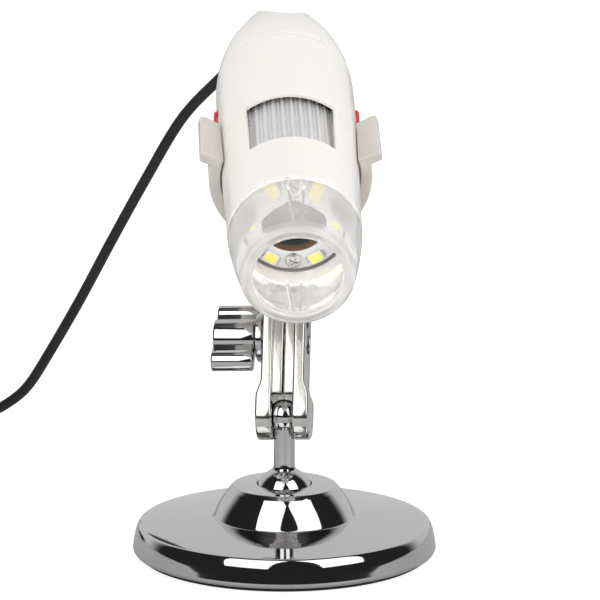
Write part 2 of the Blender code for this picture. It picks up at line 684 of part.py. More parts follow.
def build_clamp():
    clamp = frame_empty("clamp_frame", clamp_matrix())
    build_clamp_plate("clamp_plate_left", -1, clamp)
    right_plate = build_clamp_plate("clamp_plate_right", 1, clamp)
    middle = Matrix.Translation((0, 0, CLAMP_REACH / 2 + CLAMP_SCREW_RISE))
    head_top = PLATE_OUTER - CLAMP_HEAD_DEPTH
    head_low = head_top - CLAMP_HEAD_THICKNESS
    pocket_radius = CLAMP_HEAD_RADIUS + GAP
    pocket = ((0, head_low - GAP), (pocket_radius, head_low - GAP),
              (pocket_radius, PLATE_OUTER + OVERRUN), (0, PLATE_OUTER + OVERRUN))
    cut(right_plate, tool("screw_head_pocket", turned(pocket, SMALL_SIDES, "X"), clamp, middle))
    washer_start = -PLATE_OUTER - GAP
    washer_end = washer_start - WASHER_THICKNESS
    knob_start = washer_end - GAP
    knob_end = knob_start - KNOB_LENGTH
    tip = knob_end + KNOB_END_WALL + GAP
    screw = (
        (0, tip), (CLAMP_SCREW_RADIUS, tip), (CLAMP_SCREW_RADIUS, head_low),
        (CLAMP_HEAD_RADIUS, head_low), (CLAMP_HEAD_RADIUS, head_low + CLAMP_HEAD_THICKNESS / 2),
        (CLAMP_HEAD_RADIUS - CLAMP_HEAD_THICKNESS / 2, head_top), (0, head_top),
    )
    add_piece("clamp_screw", turned(screw, SMALL_SIDES, "X"), "steel", clamp, middle)
    bore = CLAMP_SCREW_RADIUS + GAP
    washer = ((bore, washer_end), (WASHER_RADIUS, washer_end), (WASHER_RADIUS, washer_start),
              (bore, washer_start))
    add_piece("knob_washer", turned(washer, SMALL_SIDES, "X"), "chrome", clamp, middle)
    knob_axis = frame_empty("knob_axis", middle, clamp)
    build_knob(knob_axis, knob_start, knob_end, bore)
    return clamp


def build_knob(axis, start, end, bore):
    """Wing knob: a round hub with two bulb-ended wings, blind bore for the screw."""
    tip_place = WING_REACH - WING_TIP_RADIUS
    neck = math.acos(WING_NECK_HALF / WING_TIP_RADIUS)
    root = math.acos(WING_NECK_HALF / KNOB_HUB_RADIUS)
    outline = []
    for turn in (0.0, math.pi):
        wing = arc((0, tip_place), WING_TIP_RADIUS, -neck, math.pi + neck, ARC_STEPS)
        wing += arc((0, 0), KNOB_HUB_RADIUS, math.pi - root, math.pi + root, ARC_STEPS // 2)
        for u, v in wing:
            outline.append((u * math.cos(turn) - v * math.sin(turn),
                            u * math.sin(turn) + v * math.cos(turn)))
    lean = Matrix.Rotation(WING_ANGLE, 4, "X")
    knob = add_piece("wing_knob", extruded(outline, end, start, "X"), "chrome", axis, lean)
    round_edges(knob, WING_EDGE_ROUND)
    hole_end = end + KNOB_END_WALL
    hole = ((0, hole_end), (bore, hole_end), (bore, start + OVERRUN), (0, start + OVERRUN))
    cut(knob, tool("knob_bore", turned(hole, SMALL_SIDES, "X"), axis))


def scope_rotation():
    return Matrix.Rotation(SCOPE_TURN, 4, "Z") @ Matrix.Rotation(SCOPE_PITCH, 4, "X")


def build_upper_post(head):
    """Ball, neck, collar and stud in one piece; its origin is the ball's centre."""
    neck_low = math.sqrt(CLAMP_BALL_RADIUS ** 2 - UPPER_NECK_RADIUS ** 2)
    collar_end = COLLAR_START + COLLAR_THICKNESS
    stud_end = nut_seat_height() + NUT_THICKNESS
    outline = ball_outline(CLAMP_BALL_RADIUS, 0.0, -CLAMP_BALL_RADIUS, neck_low)
    outline += [
        (UPPER_NECK_RADIUS, COLLAR_START), (COLLAR_RADIUS, COLLAR_START), (COLLAR_RADIUS, collar_end),
        (STUD_RADIUS, collar_end), (STUD_RADIUS, stud_end), (0, stud_end),
    ]
    add_piece("upper_post", turned(outline, SMALL_SIDES), "chrome", head)


def cradle_bore(place):
    return barrel_radius(place) + CRADLE_FIT


def nut_seat_height():
    """Height of the nut's seat above the upper ball, inside the cradle's floor."""
    floor = BALL_TO_AXIS - cradle_bore(STUD_AXIS_PLACE)
    return floor - NUT_THICKNESS - 2 * GAP


def cradle_outline(bore):
    """(x, z) section of the cradle about the barrel's axis, lips flared outwards."""
    outer = CRADLE_OUTER_RADIUS
    rise = CRADLE_OPEN_ANGLE
    floor_arc = arc((0, 0), outer, -math.pi - rise, rise, 2 * ARC_STEPS)
    lip = [(LIP_OUTER, LIP_HEIGHT - LIP_THICKNESS / 2),
           (LIP_OUTER - LIP_THICKNESS / 4, LIP_HEIGHT + LIP_THICKNESS / 2),
           (LIP_OUTER - LIP_THICKNESS, LIP_HEIGHT + LIP_THICKNESS / 2)]
    inner_rise = rise + LIP_THICKNESS / outer
    inner_arc = arc((0, 0), bore, inner_rise, -math.pi - inner_rise, 2 * ARC_STEPS)
    mirrored = [(-x, z) for x, z in reversed(lip)]
    return floor_arc + lip + inner_arc + mirrored


def build_cradle(scope):
    """C-shaped cradle that follows the barrel's taper, with a boss for the stud."""
    end = CRADLE_START + CRADLE_LENGTH
    outlines = (cradle_outline(cradle_bore(CRADLE_START)), cradle_outline(cradle_bore(end)))
    cradle = add_piece("cradle", lofted(outlines, (CRADLE_START, end)), "cradle_plastic", scope)
    stud = Matrix.Translation((0, STUD_AXIS_PLACE, -BALL_TO_AXIS))
    boss_low = COLLAR_START + COLLAR_THICKNESS + GAP
    boss_high = nut_seat_height()
    boss = ((0, boss_low), (BOSS_RADIUS, boss_low), (BOSS_RADIUS, boss_high), (0, boss_high))
    join(cradle, tool("cradle_boss", turned(boss, SMALL_SIDES), scope, stud))
    bore = STUD_RADIUS + GAP
    hole = ((0, boss_low - OVERRUN), (bore, boss_low - OVERRUN), (bore, boss_high + OVERRUN),
            (0, boss_high + OVERRUN))
    cut(cradle, tool("cradle_hole", turned(hole, TINY_SIDES), scope, stud))
    seat = NUT_RADIUS + GAP
    recess = ((0, boss_high), (seat, boss_high), (seat, boss_high + 2 * OVERRUN),
              (0, boss_high + 2 * OVERRUN))
    cut(cradle, tool("cradle_nut_recess", turned(recess, TINY_SIDES), scope, stud))
    nut_low = boss_high + GAP
    nut_high = nut_low + NUT_THICKNESS
    nut = ((bore, nut_low), (NUT_RADIUS, nut_low), (NUT_RADIUS, nut_high), (bore, nut_high))
    add_piece("cradle_nut", turned(nut, TINY_SIDES), "steel", scope, stud)


def build_front_shell(scope):
    """White front shell: cover socket, ledge, wheel bay, rear tongue and a window in its rear edge."""
    end = FRONT_SHELL_LENGTH
    outer = [(barrel_radius(s), s) for s in stations(0.0, end, 5)]
    ledge_end = MOUTH_BORE_DEPTH + LEDGE_LENGTH
    inner = [
        (TONGUE_OUTER_RADIUS, end), (TONGUE_OUTER_RADIUS, TONGUE_END),
        (WHEEL_BAY_RADIUS, TONGUE_END), (WHEEL_BAY_RADIUS, WHEEL_BAY_START),
        (MOUTH_BORE_RADIUS, WHEEL_BAY_START), (MOUTH_BORE_RADIUS, ledge_end),
        (LEDGE_RADIUS, ledge_end), (LEDGE_RADIUS, MOUTH_BORE_DEPTH),
        (MOUTH_BORE_RADIUS, MOUTH_BORE_DEPTH), (MOUTH_BORE_RADIUS, 0.0),
    ]
    shell = add_piece("front_shell", turned(outer + inner, ROUND_SIDES, "Y"), "white_plastic", scope)
    half = WINDOW_HALF_ANGLE
    floor = WHEEL_BAY_RADIUS * WINDOW_FLOOR_SHARE
    reach = BARREL_RADIUS + OVERRUN
    wedge = [(math.sin(a) * reach / math.cos(half), math.cos(a) * reach / math.cos(half))
             for a in stations(-half, half, 4)]
    wedge += [(math.sin(half) * floor, math.cos(half) * floor),
              (-math.sin(half) * floor, math.cos(half) * floor)]
    cut(shell, tool("wheel_window", extruded(wedge, WINDOW_START, end + GAP), scope))


def build_rear_shell(scope):
    """White rear shell: it takes the front shell's tongue and has a hole for each button."""
    start, end = FRONT_SHELL_LENGTH + SEAM_GAP, REAR_SHELL_END
    outer = [(barrel_radius(s), s) for s in stations(start, end, 4)]
    bore = BARREL_RADIUS - WALL
    end_bore = barrel_radius(end) - WALL + SPIGOT_WALL
    lap = SPIGOT_LENGTH + GAP
    tongue_bore = TONGUE_OUTER_RADIUS + GAP
    collar_bore = WHEEL_BAY_RADIUS - SPIGOT_WALL
    flange_end = TUBE_FLANGE_START + TUBE_FLANGE_THICKNESS + GAP
    inner = [
        (end_bore, end), (end_bore, end - lap), (bore - SPIGOT_WALL, end - lap),
        (bore - SPIGOT_WALL, flange_end), (bore, flange_end), (bore, TUBE_FLANGE_START - GAP),
        (collar_bore, TUBE_FLANGE_START - GAP), (collar_bore, WHEEL_BAY_END),
        (tongue_bore, WHEEL_BAY_END), (tongue_bore, start),
    ]
    shell = add_piece("rear_shell", turned(outer + inner, ROUND_SIDES, "Y"), "white_plastic", scope)
    hole = BUTTON_RADIUS + GAP
    reach = BARREL_RADIUS + OVERRUN
    for side in (-1, 1):
        near, far = sorted((side * SENSOR_HALF_SIZE, side * reach))
        outline = ((0, near), (hole, near), (hole, far), (0, far))
        cut(shell, tool("button_hole", turned(outline, SMALL_SIDES, "X"), scope,
                        Matrix.Translation((0, BUTTON_PLACE, 0))))


def build_tail_cap(scope):
    """Domed tail cap with a spigot into the rear shell, a valley over its end and a cable hole."""
    start = REAR_SHELL_END + SEAM_GAP
    outer = [(barrel_radius(s), s) for s in stations(start, BARREL_LENGTH, 9)]
    spigot_outer = barrel_radius(REAR_SHELL_END) - WALL + SPIGOT_WALL - GAP
    spigot_inner = spigot_outer - SPIGOT_WALL
    spigot_start = REAR_SHELL_END - SPIGOT_LENGTH
    inner_end = TAIL_CAVITY_END
    cavity = [(barrel_radius(s) - 2 * WALL, s) for s in reversed(stations(start, inner_end, 2))]
    inner = [(0, BARREL_LENGTH), (0, inner_end)] + cavity[:-1] + [
        (spigot_inner, start), (spigot_inner, spigot_start), (spigot_outer, spigot_start),
        (spigot_outer, start),
    ]
    cap = add_piece("tail_cap", turned(outer + inner, ROUND_SIDES, "Y"), "white_plastic", scope)
    reach = BARREL_LENGTH / 2
    roller = ((0, -reach), (TAIL_VALLEY_RADIUS, -reach), (TAIL_VALLEY_RADIUS, reach), (0, reach))
    floor = Matrix.Translation((TAIL_VALLEY_SIDE, BARREL_LENGTH - TAIL_VALLEY_SETBACK,
                                BARREL_RADIUS * TAIL_VALLEY_HEIGHT_SHARE))
    lift = Matrix.Translation((0, 0, TAIL_VALLEY_RADIUS))
    cut(cap, tool("tail_valley", turned(roller, ROUND_SIDES, "Y"), scope,
                  floor @ Matrix.Rotation(TAIL_VALLEY_PITCH, 4, "X") @ lift))
    relief = relief_matrix()
    hole_radius = RELIEF_NECK_RADIUS + GAP
    hole_end = relief_end()
    boot_hole, boot_start = RELIEF_BOOT_RADIUS + GAP, RELIEF_BOOT_START - GAP
    hole = ((0, -OVERRUN), (hole_radius, -OVERRUN), (hole_radius, boot_start),
            (boot_hole, boot_start), (boot_hole, hole_end), (0, hole_end))
    cut(cap, tool("cable_hole", turned(hole, TINY_SIDES, "Y"), scope, relief))
    seat_radius = RELIEF_FLANGE_RADIUS + GAP
    seat_start = -RELIEF_FLANGE_THICKNESS - 2 * OVERRUN
    seat = ((0, seat_start), (seat_radius, seat_start), (seat_radius, 0), (0, 0))
    cut(cap, tool("relief_seat", turned(seat, TINY_SIDES, "Y"), scope, relief))


def relief_matrix():
    """Frame of the strain relief: y runs out along the cable, tilted down from the barrel."""
    root_height = -RELIEF_DROP - RELIEF_BOOT_START * math.sin(RELIEF_TILT)
    place = Matrix.Translation((0, RELIEF_ROOT, root_height))
    return place @ Matrix.Rotation(RELIEF_TILT, 4, "X")


def relief_end():
    return RELIEF_BOOT_START + RELIEF_BOOT_LENGTH


def build_strain_relief(scope):
    """Rubber strain relief: flange inside the cap, neck through its wall, tapered boot outside."""
    flange_start = -GAP - RELIEF_FLANGE_THICKNESS
    outline = [(0, flange_start), (RELIEF_FLANGE_RADIUS, flange_start), (RELIEF_FLANGE_RADIUS, -GAP),
               (RELIEF_NECK_RADIUS, -GAP), (RELIEF_NECK_RADIUS, RELIEF_BOOT_START)]
    boot_end = relief_end()
    step = RELIEF_BOOT_LENGTH / RELIEF_RINGS
    ring_end, groove_start, groove_end = (step * share for share in RELIEF_RING_SHARES)
    for ring in range(RELIEF_RINGS):
        place = RELIEF_BOOT_START + step * ring
        share = ring / (RELIEF_RINGS - 1)
        radius = RELIEF_BOOT_RADIUS + (RELIEF_TIP_RADIUS - RELIEF_BOOT_RADIUS) * share
        groove = radius - RELIEF_GROOVE
        outline += [(radius, place), (radius, place + ring_end), (groove, place + groove_start),
                    (groove, place + groove_end)]
    outline += [(RELIEF_TIP_RADIUS - RELIEF_GROOVE, boot_end), (0, boot_end)]
    add_piece("strain_relief", turned(outline, TINY_SIDES, "Y"), "black_rubber", scope, relief_matrix())


def build_wheel(scope):
    """Focus wheel: ribbed all round, running on the optics tube inside the window bay."""
    outline = []
    for rib in range(WHEEL_RIBS):
        for turn_share, height_share in WHEEL_RIB_SHARES:
            angle = math.tau * (rib + turn_share) / WHEEL_RIBS
            radius = WHEEL_RADIUS - WHEEL_RIB_DEPTH * (1 - height_share)
            outline.append((radius * math.sin(angle), radius * math.cos(angle)))
    start, end = WHEEL_BAY_START + GAP, WHEEL_BAY_END - GAP
    wheel = add_piece("focus_wheel", extruded(outline, start, end), "silver_plastic", scope)
    bore = TUBE_OUTER_RADIUS + GAP
    hole = ((0, start - OVERRUN), (bore, start - OVERRUN), (bore, end + OVERRUN), (0, end + OVERRUN))
    cut(wheel, tool("wheel_bore", turned(hole, SMALL_SIDES, "Y"), scope))


def build_optics(scope):
    """Fixed guide tube, sliding lens barrel, lens, image sensor and its board."""
    bore = LENS_BARREL_RADIUS + GAP
    flange_radius = BARREL_RADIUS - WALL - GAP
    flange_end = TUBE_FLANGE_START + TUBE_FLANGE_THICKNESS
    skirt_end = flange_end + TUBE_SKIRT_LENGTH
    tube = (
        (bore, TUBE_START), (TUBE_OUTER_RADIUS, TUBE_START), (TUBE_OUTER_RADIUS, TUBE_FLANGE_START),
        (flange_radius, TUBE_FLANGE_START), (flange_radius, flange_end),
        (TUBE_SKIRT_RADIUS, flange_end), (TUBE_SKIRT_RADIUS, skirt_end), (bore, skirt_end),
    )
    add_piece("optics_tube", turned(tube, SMALL_SIDES, "Y"), "black_plastic", scope)
    start = LENS_BARREL_START
    end = start + LENS_BARREL_LENGTH
    inner = LENS_BARREL_RADIUS - LENS_BARREL_WALL
    lip_end = start + LENS_LIP_LENGTH
    barrel = (
        (inner - LENS_LIP, start), (LENS_BARREL_RADIUS, start), (LENS_BARREL_RADIUS, end),
        (inner, end), (inner, lip_end), (inner - LENS_LIP, lip_end),
    )
    add_piece("lens_barrel", turned(barrel, SMALL_SIDES, "Y"), "black_plastic", scope)
    lens_start = lip_end + GAP
    lens_end = lens_start + LENS_THICKNESS
    rim = inner - GAP
    lens = [(0, lens_start), (rim, lens_start), (rim, lens_end)]
    lens += [(rim * share, lens_end + LENS_CROWN * (1 - share ** 2)) for share in LENS_CROWN_SHARES]
    add_piece("lens", turned(lens, TINY_SIDES, "Y"), "lens_glass", scope)
    board_start = skirt_end + GAP
    board_end = board_start + BOARD_THICKNESS
    board = ((0, board_start), (SENSOR_BOARD_RADIUS, board_start), (SENSOR_BOARD_RADIUS, board_end),
             (0, board_end))
    add_piece("sensor_board", turned(board, SMALL_SIDES, "Y"), "green_board", scope)
    half = SENSOR_HALF_SIZE
    chip_end = board_start - GAP
    chip = block((-half, chip_end - SENSOR_THICKNESS, -half), (half, chip_end, half))
    add_piece("image_sensor", chip, "black_plastic", scope)


def build_main_board(scope):
    """Main board across the rear shell, carrying one push switch behind each button."""
    top = -MAIN_BOARD_DROP
    low = top - BOARD_THICKNESS
    bore = BARREL_RADIUS - WALL - SPIGOT_WALL - GAP
    half = math.sqrt(bore ** 2 - low ** 2)
    board = block((-half, MAIN_BOARD_START, low), (half, MAIN_BOARD_END, top))
    add_piece("main_board", board, "green_board", scope)
    inner_face = button_inner_face()
    outer = inner_face - BUTTON_STROKE - GAP
    base = top + GAP
    reach = SWITCH_LENGTH / 2
    for side, name in ((-1, "left_switch"), (1, "right_switch")):
        near, far = sorted((side * outer, side * (outer - SWITCH_DEPTH)))
        body = block((near, BUTTON_PLACE - reach, base), (far, BUTTON_PLACE + reach, BUTTON_RADIUS))
        add_piece(name, body, "black_plastic", scope)


def button_inner_face():
    """Distance from the barrel's axis to the inner face of a button at rest."""
    flange = BUTTON_RADIUS + BUTTON_FLANGE
    bore = BARREL_RADIUS - WALL - SPIGOT_WALL
    return math.sqrt(bore ** 2 - flange ** 2) - GAP - BUTTON_FLANGE_THICKNESS


def build_buttons(scope):
    """A round red button each side; its flange sits behind the shell's wall."""
    inner = button_inner_face()
    flange_end = inner + BUTTON_FLANGE_THICKNESS
    top = barrel_radius(BUTTON_PLACE) + BUTTON_PROUD
    flange = BUTTON_RADIUS + BUTTON_FLANGE
    dome = BUTTON_PROUD / 2
    outline = ((0, inner), (flange, inner), (flange, flange_end), (BUTTON_RADIUS, flange_end),
               (BUTTON_RADIUS, top - dome), (BUTTON_RADIUS - dome, top), (0, top))
    for side, name in ((-1, "left_button"), (1, "right_button")):
        flipped = [(r, side * h) for r, h in outline]
        add_piece(name, turned(flipped, SMALL_SIDES, "X"), "red_plastic", scope,
                  Matrix.Translation((0, BUTTON_PLACE, 0)))


def build_lamp(scope):
    """Ring board with white LEDs and two screws, on a carrier against the shell's ledge."""
    start = LAMP_BOARD_START
    end = start + LAMP_BOARD_THICKNESS
    ring = ((LAMP_BOARD_HOLE, start), (LAMP_BOARD_RADIUS, start), (LAMP_BOARD_RADIUS, end),
            (LAMP_BOARD_HOLE, end))
    board = add_piece("led_board", turned(ring, SMALL_SIDES, "Y"), "white_board", scope)
    carrier_start, carrier_end = end + GAP, MOUTH_BORE_DEPTH - GAP
    web_end = carrier_start + CARRIER_WEB
    ring = ((LAMP_BOARD_HOLE, carrier_start), (LAMP_BOARD_RADIUS, carrier_start),
            (LAMP_BOARD_RADIUS, carrier_end), (CARRIER_HOLE, carrier_end),
            (CARRIER_HOLE, web_end), (LAMP_BOARD_HOLE, web_end))
    carrier = add_piece("led_carrier", turned(ring, SMALL_SIDES, "Y"), "white_plastic", scope)
    half = LAMP_PLACES // 2
    for place in range(LAMP_PLACES):
        turn = Matrix.Rotation(math.tau * place / LAMP_PLACES, 4, "Y")
        if place % half == 0:
            lamp_screw(scope, board, carrier, place // half + 1, turn)
        elif place % 2 == 1:
            led(scope, place // 2 + 1, turn)


def led(scope, number, turn):
    half_length, half_width = LED_LENGTH / 2, LED_WIDTH / 2
    top = LAMP_BOARD_START - GAP / 3
    body = block((-half_length, top - LED_THICKNESS, LED_CIRCLE - half_width),
                 (half_length, top, LED_CIRCLE + half_width))
    add_piece(f"led_{number}", body, "phosphor", scope, turn)


def lamp_screw(scope, board, carrier, number, turn):
    spot = turn @ Matrix.Translation((0, 0, LAMP_SCREW_CIRCLE))
    seat = LAMP_BOARD_START - GAP
    crown = seat - LAMP_SCREW_HEAD_THICKNESS
    tip = seat + LAMP_SCREW_LENGTH
    head = LAMP_SCREW_HEAD_RADIUS
    edge = crown + LAMP_SCREW_HEAD_THICKNESS / 2
    outline = ((0, crown), (head * LAMP_SCREW_CROWN_SHARE, crown), (head, edge), (head, seat),
               (LAMP_SCREW_RADIUS, seat), (LAMP_SCREW_RADIUS, tip), (0, tip))
    add_piece(f"led_board_screw_{number}", turned(outline, TINY_SIDES, "Y"), "steel", scope, spot)
    hole_radius = LAMP_SCREW_RADIUS + GAP
    hole = ((0, seat - OVERRUN), (hole_radius, seat - OVERRUN), (hole_radius, tip + OVERRUN),
            (0, tip + OVERRUN))
    cutter = tool(f"lamp_screw_hole_{number}", turned(hole, TINY_SIDES, "Y"), scope, spot)
    cut(board, cutter)
    cut(carrier, cutter)


def build_cover(scope):
    """Clear nose cover: tapered wall, in-turned mouth rim, spigot and four inner ribs."""
    rear = -GAP
    length = COVER_LENGTH - GAP
    outer = [(SHELL_MOUTH_RADIUS * r, rear - length * s) for s, r in COVER_OUTLINE_SHARES]
    front = -COVER_LENGTH
    wall_rear = SHELL_MOUTH_RADIUS - COVER_WALL
    wall_front = SHELL_MOUTH_RADIUS * COVER_OUTLINE_SHARES[-1][1] - COVER_WALL
    lip_start = front + COVER_LIP
    spigot_outer = MOUTH_BORE_RADIUS - GAP
    spigot_inner = spigot_outer - COVER_SPIGOT_WALL
    inner = [
        (COVER_RIM_RADIUS, front), (COVER_MOUTH_RADIUS, front), (COVER_MOUTH_RADIUS, lip_start),
        (wall_front, lip_start), (min(wall_rear, spigot_inner), rear),
        (spigot_inner, COVER_SPIGOT_LENGTH), (spigot_outer, COVER_SPIGOT_LENGTH),
        (spigot_outer, rear),
    ]
    cover = add_piece("nose_cover", turned(outer + inner, ROUND_SIDES, "Y"), "clear_plastic", scope)
    rib_rear = -RIB_SETBACK
    for upright in (-1, 1):
        for side in (-1, 1):
            rear_x, front_x = side * RIB_REAR_SPREAD, side * RIB_FRONT_SPREAD
            half = RIB_THICKNESS / 2
            crest_rear = spigot_inner - RIB_DEPTH
            crest_front = wall_front - RIB_DEPTH
            root_rear = spigot_inner + COVER_WALL / 2
            root_front = wall_front + COVER_WALL / 2
            outlines = []
            for x, crest, root in ((rear_x, crest_rear, root_rear), (front_x, crest_front, root_front)):
                outlines.append(((x - half, upright * crest), (x + half, upright * crest),
                                 (x + half, upright * root), (x - half, upright * root)))
            rib = lofted(outlines, (rib_rear, lip_start - COVER_LIP / 2))
            join(cover, tool("cover_rib", rib, scope))


def smooth_route(points, step):
    """Evenly spaced points along a smooth curve through the given ones."""
    dense = []
    last = len(points) - 1
    for k in range(last):
        before, after = points[max(k - 1, 0)], points[min(k + 2, last)]
        start, end = points[k], points[k + 1]
        for t in stations(0.0, 1.0, ROUTE_STEPS)[:-1]:
            dense.append(
                start * (2 * t ** 3 - 3 * t ** 2 + 1) + (end - before) / 2 * (t ** 3 - 2 * t ** 2 + t)
                + end * (3 * t ** 2 - 2 * t ** 3) + (after - start) / 2 * (t ** 3 - t ** 2)
            )
    dense.append(points[-1])
    total = sum((b - a).length for a, b in zip(dense, dense[1:]))
    count = max(2, round(total / step))
    picked, walked, target = [dense[0]], 0.0, total / count
    for a, b in zip(dense, dense[1:]):
        piece = (b - a).length
        while walked + piece >= target and len(picked) < count:
            picked.append(a.lerp(b, (target - walked) / piece))
            target += total / count
        walked += piece
    picked.append(dense[-1])
    return picked


def cable(name, points, resolution, scope=None):
    """Round cable along points, ends capped."""
    curve = bpy.data.curves.new(name, "CURVE")
    curve.dimensions = "3D"
    curve.bevel_depth = CABLE_RADIUS
    curve.bevel_resolution = resolution
    curve.use_fill_caps = True
    spline = curve.splines.new("POLY")
    spline.points.add(len(points) - 1)
    for target, point in zip(spline.points, points):
        target.co = (*point, 1.0)
    curve.materials.append(finish_named("black_rubber"))
    piece = bpy.data.objects.new(name, curve)
    bpy.context.collection.objects.link(piece)
    return piece


def cable_exit():
    """Frame at the strain relief's end; y runs out along the cable."""
    return scope_matrix() @ relief_matrix() @ Matrix.Translation((0, relief_end() + GAP, 0))


def coil_centre():
    start = cable_exit().translation
    return start.x + COIL_SIDE, start.y + COIL_BACK


def coil_place(turn, centre):
    """Centre line of the coil after a number of turns from its outer start."""
    reversal = COIL_LAYER_TURNS - COIL_LEAD_TURNS
    swing = abs(((turn - reversal) % (2 * COIL_LAYER_TURNS)) - COIL_LAYER_TURNS)
    radius = COIL_INNER + COIL_PITCH * (COIL_LAYER_TURNS - swing)
    layer = math.floor((turn + COIL_CLIMB_TURNS) / COIL_LAYER_TURNS)
    climbed = turn + COIL_CLIMB_TURNS - layer * COIL_LAYER_TURNS
    height = COIL_BOTTOM + COIL_PITCH * (layer - 1 + min(climbed / COIL_CLIMB_TURNS, 1.0))
    angle = math.pi / 2 + math.tau * turn
    return Vector((centre[0] + radius * math.cos(angle), centre[1] + radius * math.sin(angle), height))


def coil_points():
    count = round(COIL_TURNS * COIL_POINTS)
    turns = [COIL_TURNS * k / count for k in range(count + 1)]
    centre = coil_centre()
    points = [coil_place(turn, centre) for turn in turns]
    straight = 2 * CABLE_RADIUS
    first = Vector((points[0].x + straight, points[0].y, points[0].z))
    last = Vector((points[-1].x, points[-1].y - straight, points[-1].z))
    return [first] + points + [last]


def least_gap(points):
    """Least clear distance between stretches of a tube that aren't neighbours."""
    skip = COIL_POINTS // 2
    least = math.inf
    for i, a in enumerate(points):
        for j in range(i + skip, len(points) - 1):
            b, c = points[j], points[j + 1]
            along = (a - b).dot(c - b) / (c - b).length_squared
            nearest = b.lerp(c, min(max(along, 0.0), 1.0))
            least = min(least, (a - nearest).length)
    return least - 2 * CABLE_RADIUS


def build_cable(scope):
    """Free stretch from the strain relief, coil, tie, lead-out and plug."""
    start = cable_exit().translation
    direction = (cable_exit().to_3x3() @ Vector((0, 1, 0))).normalized()
    coil = coil_points()
    finish = coil[0] + Vector((GAP, 0, 0))
    straight = Vector((4 * CABLE_RADIUS, 0, 0))
    route = [start, start + direction * 2 * CABLE_RADIUS, start + direction * 4 * CABLE_RADIUS]
    route += [Vector((start.x + x, start.y + y, start.z * share)) for x, y, share in CABLE_FALL]
    route += [finish + straight, finish + straight / 2, finish]
    free = smooth_route(route, CABLE_STEP)
    cable("cable_free", free, 2)
    cable("cable_coil", coil, 1)
    print("least gap of the coil to itself, mm:", round(least_gap(coil) * 1000, 3))
    build_tie()
    lead = build_lead(coil[-1])
    length = sum(
        (b - a).length for points in (free, coil, lead) for a, b in zip(points, points[1:])
    )
    print("cable length, m:", round(length, 4))


def build_tie():
    """Flat tie round the coil's bundle on the side away from the view."""
    low, high = TIE_FOOT, COIL_TOP + CABLE_RADIUS + GAP + TIE_THICKNESS
    inner, outer = COIL_INNER - CABLE_RADIUS - GAP * 2, COIL_OUTER + CABLE_RADIUS + GAP * 2
    middle, half_width = (inner + outer) / 2, (outer - inner) / 2 + TIE_THICKNESS
    half_height, centre_height = (high - low) / 2, (high + low) / 2
    outline = rounded_rectangle(half_width, half_height, COIL_PITCH / 2)
    opening = rounded_rectangle(half_width - TIE_THICKNESS, half_height - TIE_THICKNESS,
                                COIL_PITCH / 2 - TIE_THICKNESS)
    spot = Matrix.Translation((*coil_centre(), centre_height)) @ Matrix.Rotation(math.pi, 4, "Z")
    spot = spot @ Matrix.Rotation(-math.pi / 3, 4, "Z") @ Matrix.Translation((middle, 0, 0))
    tie = add_piece("cable_tie", extruded(outline, -TIE_WIDTH / 2, TIE_WIDTH / 2), "black_rubber",
                    None, spot)
    cut(tie, tool("tie_opening", extruded(opening, -TIE_WIDTH, TIE_WIDTH), None, spot))


def build_lead(coil_end):
    """Short lead from the coil's top, round to the plug that lies in front of the coil."""
    start = coil_end - Vector((0, GAP, 0))
    bend_centre = Vector((start.x + LEAD_BEND_RADIUS, start.y - LEAD_RUN, start.z))
    drop = start.z - PLUG_CENTRE_HEIGHT
    points = [start, start - Vector((0, CABLE_RADIUS * 2, 0))]
    points += [start - Vector((0, LEAD_RUN * share, 0)) for share in LEAD_RUN_SHARES]
    for k in range(LEAD_POINTS + 1):
        share = k / LEAD_POINTS
        angle = math.pi + math.pi / 2 * share
        ease = share * share * (3 - 2 * share)
        points.append(bend_centre + Vector((
            LEAD_BEND_RADIUS * math.cos(angle), LEAD_BEND_RADIUS * math.sin(angle), -drop * ease)))
    end = points[-1] + Vector((CABLE_RADIUS * 3, 0, 0))
    points.append(end)
    cable("cable_lead", points, 2)
    build_plug(end + Vector((GAP, 0, 0)))
    return points


